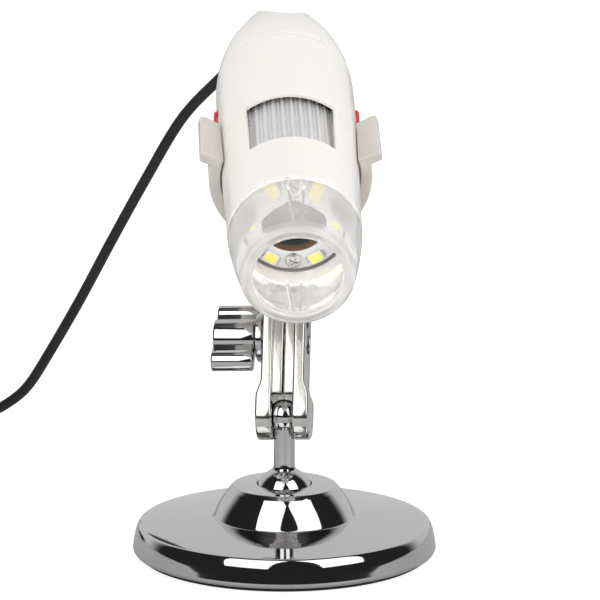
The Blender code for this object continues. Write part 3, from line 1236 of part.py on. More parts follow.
def build_plug(start):
    """USB plug lying flat: moulded grip with a tapered boot, metal shell and tongue."""
    spot = Matrix.Translation(start)
    grip_start = PLUG_BOOT_LENGTH
    grip_end = grip_start + PLUG_GRIP_LENGTH
    half_width, half_height = PLUG_GRIP_WIDTH / 2, PLUG_GRIP_HEIGHT / 2
    round_start = PLUG_GRIP_ROUND
    outlines = (
        rounded_rectangle(PLUG_BOOT_TIP_HALF, PLUG_BOOT_TIP_HALF, PLUG_BOOT_TIP_ROUND),
        rounded_rectangle(PLUG_BOOT_HALF_WIDTH, PLUG_BOOT_HALF_HEIGHT, PLUG_BOOT_ROUND),
        rounded_rectangle(half_width, half_height, round_start),
        rounded_rectangle(half_width, half_height, round_start),
    )
    places = (0.0, grip_start * PLUG_BOOT_END_SHARE, grip_start + round_start, grip_end)
    grip = add_piece("usb_plug_grip", lofted(outlines, places, "X"), "black_plastic", None, spot)
    shell_start = grip_end - PLUG_SHELL_SUNK
    shell_end = grip_end + PLUG_SHELL_LENGTH
    width, height = PLUG_SHELL_WIDTH / 2, PLUG_SHELL_HEIGHT / 2
    wall = PLUG_SHELL_WALL
    socket = rounded_rectangle(width + GAP, height + GAP, wall * 2)
    cut(grip, tool("plug_socket", extruded(socket, shell_start - GAP, grip_end + OVERRUN, "X"), None, spot))
    shell = add_piece("usb_plug_shell", extruded(rounded_rectangle(width, height, wall * 2),
                                                 shell_start, shell_end, "X"), "steel", None, spot)
    inside = rounded_rectangle(width - wall, height - wall, wall)
    cut(shell, tool("shell_inside", extruded(inside, shell_start + wall, shell_end + OVERRUN, "X"),
                    None, spot))
    floor = wall - height + GAP
    tongue = block((shell_start + wall + GAP, wall + GAP - width, floor),
                   (shell_end - wall * 2, width - wall - GAP, floor + PLUG_TONGUE_THICKNESS))
    add_piece("usb_plug_tongue", tongue, "black_plastic", None, spot)


def head_matrix():
    """Frame of the cradle: origin in the upper ball, axes along the barrel."""
    upper_ball = clamp_matrix() @ Vector((0, 0, CLAMP_REACH))
    return Matrix.Translation(upper_ball) @ scope_rotation()


def scope_matrix():
    return head_matrix() @ Matrix.Translation((0, -STUD_AXIS_PLACE, BALL_TO_AXIS))


def build():
    clear_scene()
    build_base()
    build_lower_post()
    build_clamp()
    head = frame_empty("head_frame", head_matrix())
    build_upper_post(head)
    scope = frame_empty("scope_frame", Matrix.Translation((0, -STUD_AXIS_PLACE, BALL_TO_AXIS)), head)
    build_cradle(scope)
    build_front_shell(scope)
    build_rear_shell(scope)
    build_tail_cap(scope)
    build_strain_relief(scope)
    build_wheel(scope)
    build_optics(scope)
    build_main_board(scope)
    build_buttons(scope)
    build_lamp(scope)
    build_cover(scope)
    build_cable(scope)


build()
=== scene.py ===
import json
import math

import bmesh
import bpy
from mathutils import Matrix, Vector


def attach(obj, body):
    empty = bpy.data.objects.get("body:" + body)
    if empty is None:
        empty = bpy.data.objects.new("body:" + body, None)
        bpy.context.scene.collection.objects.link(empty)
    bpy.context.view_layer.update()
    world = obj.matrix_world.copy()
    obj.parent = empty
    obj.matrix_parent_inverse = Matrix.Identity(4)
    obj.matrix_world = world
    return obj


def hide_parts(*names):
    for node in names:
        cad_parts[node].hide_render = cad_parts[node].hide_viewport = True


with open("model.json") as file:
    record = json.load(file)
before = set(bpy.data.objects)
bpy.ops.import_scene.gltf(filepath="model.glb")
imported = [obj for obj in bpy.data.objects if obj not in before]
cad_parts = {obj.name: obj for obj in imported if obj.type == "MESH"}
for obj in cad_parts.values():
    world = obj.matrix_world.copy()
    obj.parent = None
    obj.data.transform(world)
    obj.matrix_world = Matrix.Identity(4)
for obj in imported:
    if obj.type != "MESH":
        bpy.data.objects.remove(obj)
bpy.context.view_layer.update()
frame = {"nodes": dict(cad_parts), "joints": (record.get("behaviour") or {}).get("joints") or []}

mm = 0.001

# Frames of the moving groups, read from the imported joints
joints = {joint["name"]: joint for joint in frame["joints"]}


def frameFrom(origin, right, up):
    right, up = Vector(right).normalized(), Vector(up).normalized()
    back = up.cross(right).normalized()
    right = back.cross(up)
    return Matrix.Translation(origin) @ Matrix((right, back, up)).transposed().to_4x4()


scopeTail = Vector(joints["focus_turn"]["axis"])
scopeUp = Vector(joints["head_swivel"]["axis"])
scopeFrame = frameFrom(joints["focus_turn"]["pos_m"], scopeTail.cross(scopeUp), scopeUp)
lowerBall = Vector(joints["clamp_tilt"]["pos_m"])
upperBall = Vector(joints["head_tilt"]["pos_m"])
clampReach = (upperBall - lowerBall).length
clampFrame = frameFrom(lowerBall, joints["head_tilt"]["axis"], upperBall - lowerBall)
knobFrame = frameFrom(joints["knob_turn"]["pos_m"], joints["head_tilt"]["axis"], upperBall - lowerBall)
headFrame = frameFrom(upperBall, scopeTail.cross(scopeUp), scopeUp)
hubBall = Vector(joints["hub_tilt"]["pos_m"])
worldFrame = Matrix.Identity(4)


# Camera, as far and as high as the photograph's
view = {
    "target": (3.76 * mm, 0.0, 61.9 * mm),
    "distance": 902.5 * mm,
    "elevation": 11.65,  # degrees
    "lens": 228.2,  # millimetres on a 36 mm sensor
}


def addCamera():
    lens = bpy.data.cameras.new("camera")
    lens.lens = view["lens"]
    lens.sensor_width = 36.0
    lens.clip_start, lens.clip_end = 0.05, 20.0
    camera = bpy.data.objects.new("camera", lens)
    bpy.context.scene.collection.objects.link(camera)
    lift = math.radians(view["elevation"])
    back = Vector((0, -math.cos(lift), math.sin(lift)))
    camera.location = Vector(view["target"]) + back * view["distance"]
    camera.rotation_euler = (math.pi / 2 - lift, 0, 0)
    bpy.context.scene.camera = camera


addCamera()
print("camera ready")


# Shape helpers; outlines are lists of (u, v) points in metres

def addMesh(name, bm, place, material, body, replaced=(), crease=35.0):
    bmesh.ops.recalc_face_normals(bm, faces=bm.faces)
    bm.transform(place)
    mesh = bpy.data.meshes.new(name)
    bm.to_mesh(mesh)
    bm.free()
    piece = bpy.data.objects.new(name, mesh)
    bpy.context.scene.collection.objects.link(piece)
    smooth(piece, crease)
    if material:
        mesh.materials.append(material)
    if body:
        settle(piece, body, replaced)
    return piece


def smooth(piece, crease=35.0):
    piece.data.shade_smooth()
    piece.data.set_sharp_from_angle(angle=math.radians(crease))


def paintWhere(piece, finish, test):
    # second finish on the faces whose centre, in the microscope's frame, passes the test
    piece.data.materials.append(paint[finish])
    toScope = scopeFrame.inverted()
    for face in piece.data.polygons:
        centre = toScope @ face.center
        if test(centre.y, math.hypot(centre.x, centre.z)):
            face.material_index = 1


def settle(piece, body, replaced=()):
    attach(piece, body)
    if replaced:
        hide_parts(*replaced)


def millimetres(**lengths):
    return {name: length * mm for name, length in lengths.items()}


def spread(start, end, count):
    return [start + (end - start) * k / count for k in range(count + 1)]


def arcPoints(centre, radius, start, end, count):
    return [(centre[0] + radius * math.cos(a), centre[1] + radius * math.sin(a))
            for a in spread(start, end, count)]


def roundedOutline(corners, steps=5, closed=True):
    # corners are (u, v, radius); each corner with a radius becomes a short arc
    points = []
    count = len(corners)
    for k, (u, v, radius) in enumerate(corners):
        here = Vector((u, v))
        if radius <= 0 or (not closed and k in (0, count - 1)):
            points.append((u, v))
            continue
        before = Vector(corners[k - 1][:2]) - here
        after = Vector(corners[(k + 1) % count][:2]) - here
        opening = before.angle(after)
        reach = min(radius / math.tan(opening / 2), before.length * 0.48, after.length * 0.48)
        start = here + before.normalized() * reach
        end = here + after.normalized() * reach
        for share in spread(0.0, 1.0, steps):
            near = start.lerp(here, share)
            far = here.lerp(end, share)
            points.append(tuple(near.lerp(far, share)))
    return points


def turned(outline, sides, axis="Y", closed=True):
    # solid of (radius, place) points turned about an axis
    bm = bmesh.new()
    rings = []
    for radius, place in outline:
        flat = radius < 1e-7
        ring = []
        for k in range(1 if flat else sides):
            angle = math.tau * (k + 0.5) / sides
            across, along = (0.0, 0.0) if flat else (radius * math.sin(angle), radius * math.cos(angle))
            point = {"X": (place, across, along), "Y": (across, place, along),
                     "Z": (along, across, place)}[axis]
            ring.append(bm.verts.new(point))
        rings.append(ring)
    pairs = list(zip(rings, rings[1:]))
    if closed:
        pairs.append((rings[-1], rings[0]))
    for first, second in pairs:
        if len(first) == 1 and len(second) == 1:
            continue
        for k in range(sides):
            corners = []
            for vert in (first[k % len(first)], first[(k + 1) % len(first)],
                         second[(k + 1) % len(second)], second[k % len(second)]):
                if vert not in corners:
                    corners.append(vert)
            bm.faces.new(corners)
    return bm


def rod(radius, start, end, sides, axis="Y"):
    return turned([(0.0, start), (radius, start), (radius, end), (0.0, end)], sides, axis)


def bridge(bm, rings):
    # walls between each ring of vertices and the next
    for first, second in zip(rings, rings[1:]):
        for k in range(len(first)):
            following = (k + 1) % len(first)
            bm.faces.new((first[k], first[following], second[following], second[k]))


def lofted(outlines, places, axis="Y"):
    bm = bmesh.new()
    rings = []
    for outline, place in zip(outlines, places):
        rings.append([bm.verts.new({"X": (place, u, v), "Y": (u, place, v), "Z": (u, v, place)}[axis])
                      for u, v in outline])
    bridge(bm, rings)
    bm.faces.new(rings[0])
    bm.faces.new(rings[-1])
    return bm


def extruded(outline, start, end, axis="Y"):
    return lofted((outline, outline), (start, end), axis)


def chamfered(outline, start, end, edge, axis="Y", steps=3):
    # an extrusion whose two end faces are rounded over by moving the outline in
    return lofted(*roundedEnds(outline, outline, start, end, edge, steps), axis)


def roundedEnds(first, last, start, end, edge, steps):
    step = math.copysign(edge, end - start)
    shapes, places = [], []
    for outline, place, side in ((first, start, 1), (last, end, -1)):
        for turn in spread(0.0, math.pi / 2, steps)[::side]:
            shapes.append(inset(outline, edge * (1 - math.sin(turn))))
            places.append(place + side * step * (1 - math.cos(turn)))
    return shapes, places


def inset(outline, distance):
    # moves a closed outline inwards along its own normals
    count = len(outline)
    area = sum(outline[k - 1][0] * outline[k][1] - outline[k][0] * outline[k - 1][1]
               for k in range(count))
    side = 1.0 if area > 0 else -1.0
    moved = []
    for k in range(count):
        before = Vector(outline[k - 1])
        here = Vector(outline[k])
        after = Vector(outline[(k + 1) % count])
        normal = Vector((0.0, 0.0))
        for edge in (here - before, after - here):
            if edge.length > 1e-9:
                normal += Vector((-edge.y, edge.x)).normalized()
        if normal.length > 1e-6:
            normal.normalize()
        moved.append(tuple(here + normal * distance * side))
    return moved


def roundedBox(halfU, halfV, radius, steps=5):
    return roundedOutline([(halfU, -halfV, radius), (halfU, halfV, radius),
                           (-halfU, halfV, radius), (-halfU, -halfV, radius)], steps)


def carve(piece, other, operation="DIFFERENCE", crease=35.0):
    # applies one boolean and removes the other solid
    step = piece.modifiers.new("carve", "BOOLEAN")
    step.operation = operation
    step.object = other
    applyModifiers(piece, crease)
    bpy.data.objects.remove(other, do_unlink=True)
    return piece


def applyModifiers(piece, crease=35.0):
    bpy.context.view_layer.update()
    graph = bpy.context.evaluated_depsgraph_get()
    made = bpy.data.meshes.new_from_object(piece.evaluated_get(graph))
    piece.modifiers.clear()
    piece.data = made
    smooth(piece, crease)
    return piece


def bevelEdges(piece, width, segments=2, crease=35.0, limit=40.0):
    step = piece.modifiers.new("edges", "BEVEL")
    step.width = width
    step.segments = segments
    step.limit_method = "ANGLE"
    step.angle_limit = math.radians(limit)
    return applyModifiers(piece, crease)


def solid(bm, place):
    return addMesh("solid", bm, place, None, None)


# Shared effect: fine grain, drifting gloss and faint colour change
def buildFinishGroup():
    group = bpy.data.node_groups.new("finishDetail", "ShaderNodeTree")
    for label, kind, value in (("Colour", "NodeSocketColor", (0.8, 0.8, 0.8, 1.0)),
                               ("Tint", "NodeSocketColor", (0.7, 0.7, 0.7, 1.0)),
                               ("Tint Amount", "NodeSocketFloat", 0.2),
                               ("Tint Scale", "NodeSocketFloat", 60.0),
                               ("Roughness Low", "NodeSocketFloat", 0.2),
                               ("Roughness High", "NodeSocketFloat", 0.3),
                               ("Grain Scale", "NodeSocketFloat", 3000.0)):
        socket = group.interface.new_socket(name=label, in_out="INPUT", socket_type=kind)
        socket.default_value = value
    for label, kind in (("Colour", "NodeSocketColor"), ("Roughness", "NodeSocketFloat"),
                        ("Height", "NodeSocketFloat")):
        group.interface.new_socket(name=label, in_out="OUTPUT", socket_type=kind)
    nodes, links = group.nodes, group.links
    given, made = nodes.new("NodeGroupInput"), nodes.new("NodeGroupOutput")
    place = nodes.new("ShaderNodeTexCoord")
    blotch = nodes.new("ShaderNodeTexNoise")
    blotch.inputs["Detail"].default_value = 3.0
    links.new(place.outputs["Object"], blotch.inputs["Vector"])
    links.new(given.outputs["Tint Scale"], blotch.inputs["Scale"])
    sharpen = nodes.new("ShaderNodeMapRange")
    sharpen.inputs["From Min"].default_value = 0.35
    sharpen.inputs["From Max"].default_value = 0.65
    links.new(blotch.outputs["Fac"], sharpen.inputs["Value"])
    amount = nodes.new("ShaderNodeMath")
    amount.operation = "MULTIPLY"
    links.new(sharpen.outputs["Result"], amount.inputs[0])
    links.new(given.outputs["Tint Amount"], amount.inputs[1])
    mix = nodes.new("ShaderNodeMix")
    mix.data_type = "RGBA"
    links.new(amount.outputs["Value"], mix.inputs["Factor"])
    links.new(given.outputs["Colour"], mix.inputs["A"])
    links.new(given.outputs["Tint"], mix.inputs["B"])
    links.new(mix.outputs["Result"], made.inputs["Colour"])
    grain = nodes.new("ShaderNodeTexNoise")
    grain.inputs["Detail"].default_value = 4.0
    links.new(place.outputs["Object"], grain.inputs["Vector"])
    links.new(given.outputs["Grain Scale"], grain.inputs["Scale"])
    links.new(grain.outputs["Fac"], made.inputs["Height"])
    gloss = nodes.new("ShaderNodeMapRange")
    links.new(blotch.outputs["Fac"], gloss.inputs["Value"])
    links.new(given.outputs["Roughness Low"], gloss.inputs["To Min"])
    links.new(given.outputs["Roughness High"], gloss.inputs["To Max"])
    links.new(gloss.outputs["Result"], made.inputs["Roughness"])
    return group


finishGroup = buildFinishGroup()


def makeMaterial(name, look):
    material = bpy.data.materials.new(name)
    material.use_nodes = True
    nodes, links = material.node_tree.nodes, material.node_tree.links
    shader = nodes["Principled BSDF"]
    detail = nodes.new("ShaderNodeGroup")
    detail.node_tree = finishGroup
    colour = look["colour"]
    detail.inputs["Colour"].default_value = (*colour, 1.0)
    detail.inputs["Tint"].default_value = (*look.get("tint", [c * 0.85 for c in colour]), 1.0)
    detail.inputs["Tint Amount"].default_value = look.get("tintAmount", 0.25)
    detail.inputs["Tint Scale"].default_value = look.get("tintScale", 80.0)
    low, high = look["roughness"]
    detail.inputs["Roughness Low"].default_value = low
    detail.inputs["Roughness High"].default_value = high
    detail.inputs["Grain Scale"].default_value = look.get("grainScale", 3000.0)
    links.new(detail.outputs["Colour"], shader.inputs["Base Color"])
    links.new(detail.outputs["Roughness"], shader.inputs["Roughness"])
    if look.get("grain", 0) > 0:
        bump = nodes.new("ShaderNodeBump")
        bump.inputs["Strength"].default_value = look["grain"]
        bump.inputs["Distance"].default_value = look.get("grainDepth", 0.02 * mm)
        links.new(detail.outputs["Height"], bump.inputs["Height"])
        links.new(bump.outputs["Normal"], shader.inputs["Normal"])
    for label, value in look.get("shader", {}).items():
        shader.inputs[label].default_value = value
    return material


finishes = {
    "chrome": {"colour": (0.64, 0.64, 0.645), "tint": (0.58, 0.58, 0.59), "roughness": (0.03, 0.06),
               "shader": {"Metallic": 1.0}},
    "clampChrome": {"colour": (0.75, 0.74, 0.71), "tint": (0.64, 0.63, 0.60), "roughness": (0.10, 0.20),
                    "tintScale": 400.0, "grain": 0.12, "grainScale": 900.0, "shader": {"Metallic": 1.0}},
    "steel": {"colour": (0.56, 0.56, 0.57), "roughness": (0.22, 0.34), "grain": 0.15,
              "shader": {"Metallic": 1.0}},
    "whitePlastic": {"colour": (0.90, 0.875, 0.835), "tint": (0.87, 0.845, 0.80), "tintAmount": 0.3,
                     "tintScale": 45.0, "roughness": (0.20, 0.28), "grain": 0.05,
                     "shader": {"Coat Weight": 0.35, "Coat Roughness": 0.08, "Subsurface Weight": 0.12,
                                "Subsurface Radius": (0.002, 0.0016, 0.0012)}},
    "cradlePlastic": {"colour": (0.86, 0.82, 0.75), "tint": (0.80, 0.75, 0.665), "tintAmount": 0.5,
                      "tintScale": 130.0, "roughness": (0.16, 0.30), "grain": 0.35, "grainScale": 160.0,
                      "grainDepth": 0.5 * mm,
                      "shader": {"Transmission Weight": 0.25, "IOR": 1.4, "Coat Weight": 0.3,
                                 "Subsurface Weight": 0.35, "Subsurface Radius": (0.004, 0.003, 0.002)}},
    "clearPlastic": {"colour": (0.985, 0.97, 0.955), "tint": (0.965, 0.95, 0.93), "roughness": (0.02, 0.06),
                     "shader": {"Transmission Weight": 0.76, "IOR": 1.40}},
    "frostedRim": {"colour": (0.90, 0.885, 0.865), "tint": (0.84, 0.83, 0.815), "tintAmount": 0.4,
                   "tintScale": 300.0, "roughness": (0.06, 0.16), "grain": 0.2, "grainScale": 700.0,
                   "shader": {"Transmission Weight": 0.62, "IOR": 1.40, "Subsurface Weight": 0.2,
                              "Subsurface Radius": (0.002, 0.002, 0.002)}},
    "blackPlastic": {"colour": (0.018, 0.018, 0.019), "roughness": (0.35, 0.5), "grain": 0.2},
    "mattBlack": {"colour": (0.006, 0.006, 0.006), "tint": (0.012, 0.009, 0.006), "roughness": (0.6, 0.75),
                  "grain": 0.2, "shader": {"Specular IOR Level": 0.12}},
    "blackRubber": {"colour": (0.012, 0.012, 0.013), "tint": (0.02, 0.02, 0.02),
                    "roughness": (0.36, 0.5), "grain": 0.3},
    "silverPlastic": {"colour": (0.80, 0.79, 0.79), "tint": (0.70, 0.69, 0.69), "roughness": (0.22, 0.36),
                      "grain": 0.1, "shader": {"Metallic": 0.25}},
    "redPlastic": {"colour": (0.62, 0.035, 0.02), "tint": (0.5, 0.02, 0.012), "roughness": (0.22, 0.32),
                   "shader": {"Coat Weight": 0.4, "Coat Roughness": 0.08}},
    "whiteBoard": {"colour": (0.86, 0.865, 0.89), "tint": (0.80, 0.80, 0.85), "roughness": (0.3, 0.42),
                   "grain": 0.1},
    "greenBoard": {"colour": (0.02, 0.16, 0.06), "roughness": (0.3, 0.4)},
    "ledWhite": {"colour": (0.88, 0.88, 0.86), "roughness": (0.3, 0.4)},
    # phosphor yellow with a painted glow: a faint emission keeps the unlit LEDs bright under the cover
    "phosphor": {"colour": (0.92, 0.88, 0.16), "tint": (0.95, 0.93, 0.4), "roughness": (0.2, 0.3),
                 "shader": {"Coat Weight": 0.5, "Emission Color": (0.95, 0.92, 0.2, 1.0),
                            "Emission Strength": 0.12}},
    "solder": {"colour": (0.55, 0.54, 0.52), "roughness": (0.25, 0.4), "shader": {"Metallic": 0.9}},
    "lensGlass": {"colour": (0.95, 0.96, 1.0), "roughness": (0.01, 0.02),
                  "shader": {"Transmission Weight": 1.0, "IOR": 1.6}},
    "boardCore": {"colour": (0.30, 0.20, 0.11), "tint": (0.20, 0.13, 0.07), "roughness": (0.4, 0.55)},
    "nylon": {"colour": (0.76, 0.75, 0.70), "roughness": (0.4, 0.5)},
    "pad": {"colour": (0.015, 0.015, 0.016), "roughness": (0.55, 0.7), "grain": 0.4},
}
paint = {name: makeMaterial(name, look) for name, look in finishes.items()}
print("materials ready:", len(paint))


# Cable: out of the strain relief, down to the table, wound into a coil, then out to its plug
cable = {
    **millimetres(radius=1.4, reliefRoot=86.0, reliefDrop=3.0, bootStart=10.0, bootLength=8.0, joinGap=0.3,
        coilRadius=20.1, coilPitch=3.3, coilFoot=0.8, leadBend=14.0, leadRun=14.6, plugHeight=4.0),
    "reliefTilt": -18.0,  # degrees, nose to tail
    "route": ((-0.0060, 0.0932, 0.1110), (-0.0112, 0.0973, 0.1063), (-0.0176, 0.0992, 0.1000),
              (-0.0273, 0.1030, 0.0892), (-0.0372, 0.1076, 0.0721), (-0.0467, 0.1130, 0.0544),
              (-0.0560, 0.1190, 0.0365), (-0.0663, 0.1262, 0.0181), (-0.0711, 0.1293, 0.0107),
              (-0.0759, 0.1318, 0.0062), (-0.0815, 0.1338, 0.0029), (-0.0890, 0.1352, 0.0017),
              (-0.1000, 0.1360, 0.0019)),
    "coilCentre": (-0.1260, 0.1160),
    "coilTurns": 11.25,
    "layerTurns": 3.0,
    "pointsPerTurn": 36,
}


def reliefFrame():
    tilt = math.radians(cable["reliefTilt"])
    height = -cable["reliefDrop"] - cable["bootStart"] * math.sin(tilt)
    return scopeFrame @ Matrix.Translation((0, cable["reliefRoot"], height)) @ Matrix.Rotation(tilt, 4, "X")


def coilPlace(turn):
    layerTurns, pitch = cable["layerTurns"], cable["coilPitch"]
    inner = cable["coilRadius"] - pitch * (layerTurns - 0.25)
    swing = abs(((turn - layerTurns + 0.25) % (2 * layerTurns)) - layerTurns)
    radius = inner + pitch * (layerTurns - swing)
    layer = math.floor((turn + 0.5) / layerTurns)
    climb = min(((turn + 0.5) / layerTurns - layer) * 2 * layerTurns, 1.0)
    height = cable["coilFoot"] + cable["radius"] + pitch * (layer - 1 + climb)
    angle = math.pi / 2 + math.tau * turn
    centre = cable["coilCentre"]
    return Vector((centre[0] + radius * math.cos(angle), centre[1] + radius * math.sin(angle), height))


def smoothRoute(points, step):
    dense = []
    last = len(points) - 1
    for k in range(last):
        before, after = points[max(k - 1, 0)], points[min(k + 2, last)]
        start, end = points[k], points[k + 1]
        for t in spread(0.0, 1.0, 24)[:-1]:
            dense.append(start * (2 * t ** 3 - 3 * t ** 2 + 1)
                         + (end - before) / 2 * (t ** 3 - 2 * t ** 2 + t)
                         + end * (3 * t ** 2 - 2 * t ** 3) + (after - start) / 2 * (t ** 3 - t ** 2))
    dense.append(points[-1])
    total = sum((b - a).length for a, b in zip(dense, dense[1:]))
    count = max(2, round(total / step))
    picked, walked = [dense[0]], 0.0
    for a, b in zip(dense, dense[1:]):
        length = (b - a).length
        while walked + length >= total / count * len(picked) and len(picked) < count:
            picked.append(a.lerp(b, (total / count * len(picked) - walked) / length))
        walked += length
    picked.append(dense[-1])
    return picked


def cableLine():
    radius, gap = cable["radius"], cable["joinGap"]
    relief = reliefFrame()
    along = (relief.to_3x3() @ Vector((0, 1, 0))).normalized()
    start = relief @ Vector((0, cable["bootStart"] + cable["bootLength"] + gap, 0))
    count = round(cable["coilTurns"] * cable["pointsPerTurn"])
    coil = [coilPlace(cable["coilTurns"] * k / count) for k in range(count + 1)]
    entry = coil[0] + Vector((2 * radius, 0, 0))
    run = Vector((4 * radius, 0, 0))
    route = [start, start + along * 2 * radius, start + along * 4 * radius]
    route += [Vector(point) for point in cable["route"]]
    route += [entry + run, entry + run / 2, entry]
    free = smoothRoute(route, 2.4 * mm)
    leave = coil[-1] - Vector((0, 2 * radius, 0))
    bend, leadRun = cable["leadBend"], cable["leadRun"]
    drop = leave.z - cable["plugHeight"]
    corner = Vector((leave.x + bend, leave.y - gap - leadRun, leave.z))
    lead = [leave, leave - Vector((0, leadRun * 0.5, 0))]
    for share in spread(0.0, 1.0, 20):
        angle = math.pi + math.pi / 2 * share
        ease = share * share * (3 - 2 * share)
        lead.append(corner + Vector((bend * math.cos(angle), bend * math.sin(angle), -drop * ease)))
    lead.append(lead[-1] + Vector((3 * radius, 0, 0)))
    return free + coil + lead, start


def addCable():
    line, start = cableLine()
    curve = bpy.data.curves.new("usbCable", "CURVE")
    curve.dimensions = "3D"
    curve.bevel_depth = cable["radius"]
    curve.bevel_resolution = 5
    curve.use_fill_caps = True
    spline = curve.splines.new("POLY")
    spline.points.add(len(line) - 1)
    for target, point in zip(spline.points, line):
        target.co = (*point, 1.0)
    spline.use_smooth = True
    curve.materials.append(paint["blackRubber"])
    piece = bpy.data.objects.new("usbCable", curve)
    bpy.context.scene.collection.objects.link(piece)
    settle(piece, "microscope", ("cable_free", "cable_coil", "cable_lead"))
    length = sum((b - a).length for a, b in zip(line, line[1:]))
    print("cable length:", round(length, 4))
    return piece, start, length


usbCable, cableStart, cableLength = addCable()


# Microscope barrel: three white shells on one tapered outline
barrel = {
    **millimetres(length=95.5, radius=16.85, wall=1.6, thinWall=0.7, frontEnd=35.2, rearEnd=65.0,
        closeSeam=0.06, seam=0.36, edge=0.28, spigot=3.0, mouthBore=14.3, mouthDepth=8.6, ledge=11.6,
        ledgeLength=2.2, bayStart=14.7, windowStart=16.8, windowCorner=0.9, valleyRadius=15.0,
        valleySetback=4.5, valleySide=1.5, buttonPlace=50.4, buttonRadius=2.9),
    "outlineShares": ((0.0, 0.928), (0.08, 0.936), (0.20, 0.956), (0.40, 0.992), (0.55, 1.0),
                      (0.66, 0.998), (0.695, 0.987), (0.75, 0.950), (0.80, 0.893), (0.85, 0.815),
                      (0.89, 0.730), (0.925, 0.650), (0.955, 0.590), (0.98, 0.530), (1.0, 0.480)),
    "windowHalfAngle": 39.5,  # degrees
    "valleyHeightShare": 0.393,
    "valleyPitch": -33.2,  # degrees
    "sides": 180,
}


def curveThrough(shares, place):
    last = len(shares) - 1
    span = max(k for k in range(last) if shares[k][0] <= place or k == 0)
    (x0, y0), (x1, y1) = shares[span], shares[span + 1]
    before, after = shares[max(span - 1, 0)], shares[min(span + 2, last)]
    slope0 = (y1 - before[1]) / (x1 - before[0])
    slope1 = (after[1] - y0) / (after[0] - x0)
    width = x1 - x0
    t = (place - x0) / width
    return (y0 * (2 * t ** 3 - 3 * t ** 2 + 1) + slope0 * width * (t ** 3 - 2 * t ** 2 + t)
            + y1 * (3 * t ** 2 - 2 * t ** 3) + slope1 * width * (t ** 3 - t ** 2))


def barrelRadius(place):
    return barrel["radius"] * curveThrough(barrel["outlineShares"], place / barrel["length"])


def shellOutline(start, end, count, inner, first=None, last=None):
    # outer skin with softly rounded end edges, then the inner corners
    first, last = first or barrel["edge"], last or barrel["edge"]
    points = []
    for turn in spread(0.0, math.pi / 2, 4):
        points.append((barrelRadius(start + first) - first * (1 - math.sin(turn)),
                       start + first * (1 - math.cos(turn))))
    points += [(barrelRadius(s), s) for s in spread(start + first, end - last, count)[1:-1]]
    for turn in spread(math.pi / 2, 0.0, 4):
        points.append((barrelRadius(end - last) - last * (1 - math.sin(turn)),
                       end - last * (1 - math.cos(turn))))
    return points + inner


def addShells():
    wall, thin, spigot, sides = barrel["wall"], barrel["thinWall"], barrel["spigot"], barrel["sides"]
    frontEnd, rearEnd, tailEnd = barrel["frontEnd"], barrel["rearEnd"], barrel["length"]
    mouth, ledge, bayStart = barrel["mouthBore"], barrel["ledge"], barrel["bayStart"]
    ledgeStart = barrel["mouthDepth"]
    ledgeEnd = ledgeStart + barrel["ledgeLength"]
    close = barrel["closeSeam"]
    inner = [(barrelRadius(frontEnd) - thin, frontEnd), (barrelRadius(bayStart) - thin, bayStart + thin),
             (mouth, bayStart), (mouth, ledgeEnd), (ledge, ledgeEnd), (ledge, ledgeStart),
             (mouth, ledgeStart), (mouth, 0.0)]
    front = addMesh("frontShell", turned(shellOutline(0.0, frontEnd, 36, inner, last=close), sides),
                    scopeFrame, paint["whitePlastic"], None)
    cutWindow(front)
    # painted shade: the inside behind the lamp ring gets matt black, darkening that recess as shade
    paintWhere(front, "mattBlack", lambda place, reach: place > ledgeStart and reach < mouth + 0.1 * mm)
    settle(front, "microscope", ("front_shell",))
    start = frontEnd + close
    inner = [(barrelRadius(rearEnd) - thin, rearEnd), (barrelRadius(start) - thin, start)]
    rear = addMesh("rearShell", turned(shellOutline(start, rearEnd, 30, inner, first=close), sides),
                   scopeFrame, paint["whitePlastic"], None)
    cutButtonHoles(rear)
    settle(rear, "microscope", ("rear_shell",))
    start = rearEnd + barrel["seam"]
    spigotOuter = barrelRadius(rearEnd) - thin - cable["joinGap"]
    inner = [(0.0, tailEnd), (0.0, tailEnd - 9 * mm), (spigotOuter * 0.6, tailEnd - 14 * mm),
             (spigotOuter - wall / 2, start), (spigotOuter - wall / 2, rearEnd - spigot),
             (spigotOuter, rearEnd - spigot), (spigotOuter, start)]
    tail = addMesh("tailCap", turned(shellOutline(start, tailEnd, 44, inner), sides), scopeFrame,
                   paint["whitePlastic"], None)
    radius, reach = barrel["valleyRadius"], tailEnd / 2
    roller = rod(radius, -reach, reach, 160)
    floor = Matrix.Translation((barrel["valleySide"], tailEnd - barrel["valleySetback"],
                                barrel["radius"] * barrel["valleyHeightShare"]))
    pitch = Matrix.Rotation(math.radians(barrel["valleyPitch"]), 4, "X")
    carve(tail, solid(roller, scopeFrame @ floor @ pitch @ Matrix.Translation((0, 0, radius))))
    neck, boot, bootStart = 2.7 * mm, 3.2 * mm, cable["bootStart"] - cable["joinGap"]
    hole = turned([(0.0, -8 * mm), (neck, -8 * mm), (neck, bootStart), (boot, bootStart), (boot, 18 * mm),
                   (0.0, 18 * mm)], 48)
    carve(tail, solid(hole, reliefFrame()))
    settle(tail, "microscope", ("tail_cap",))


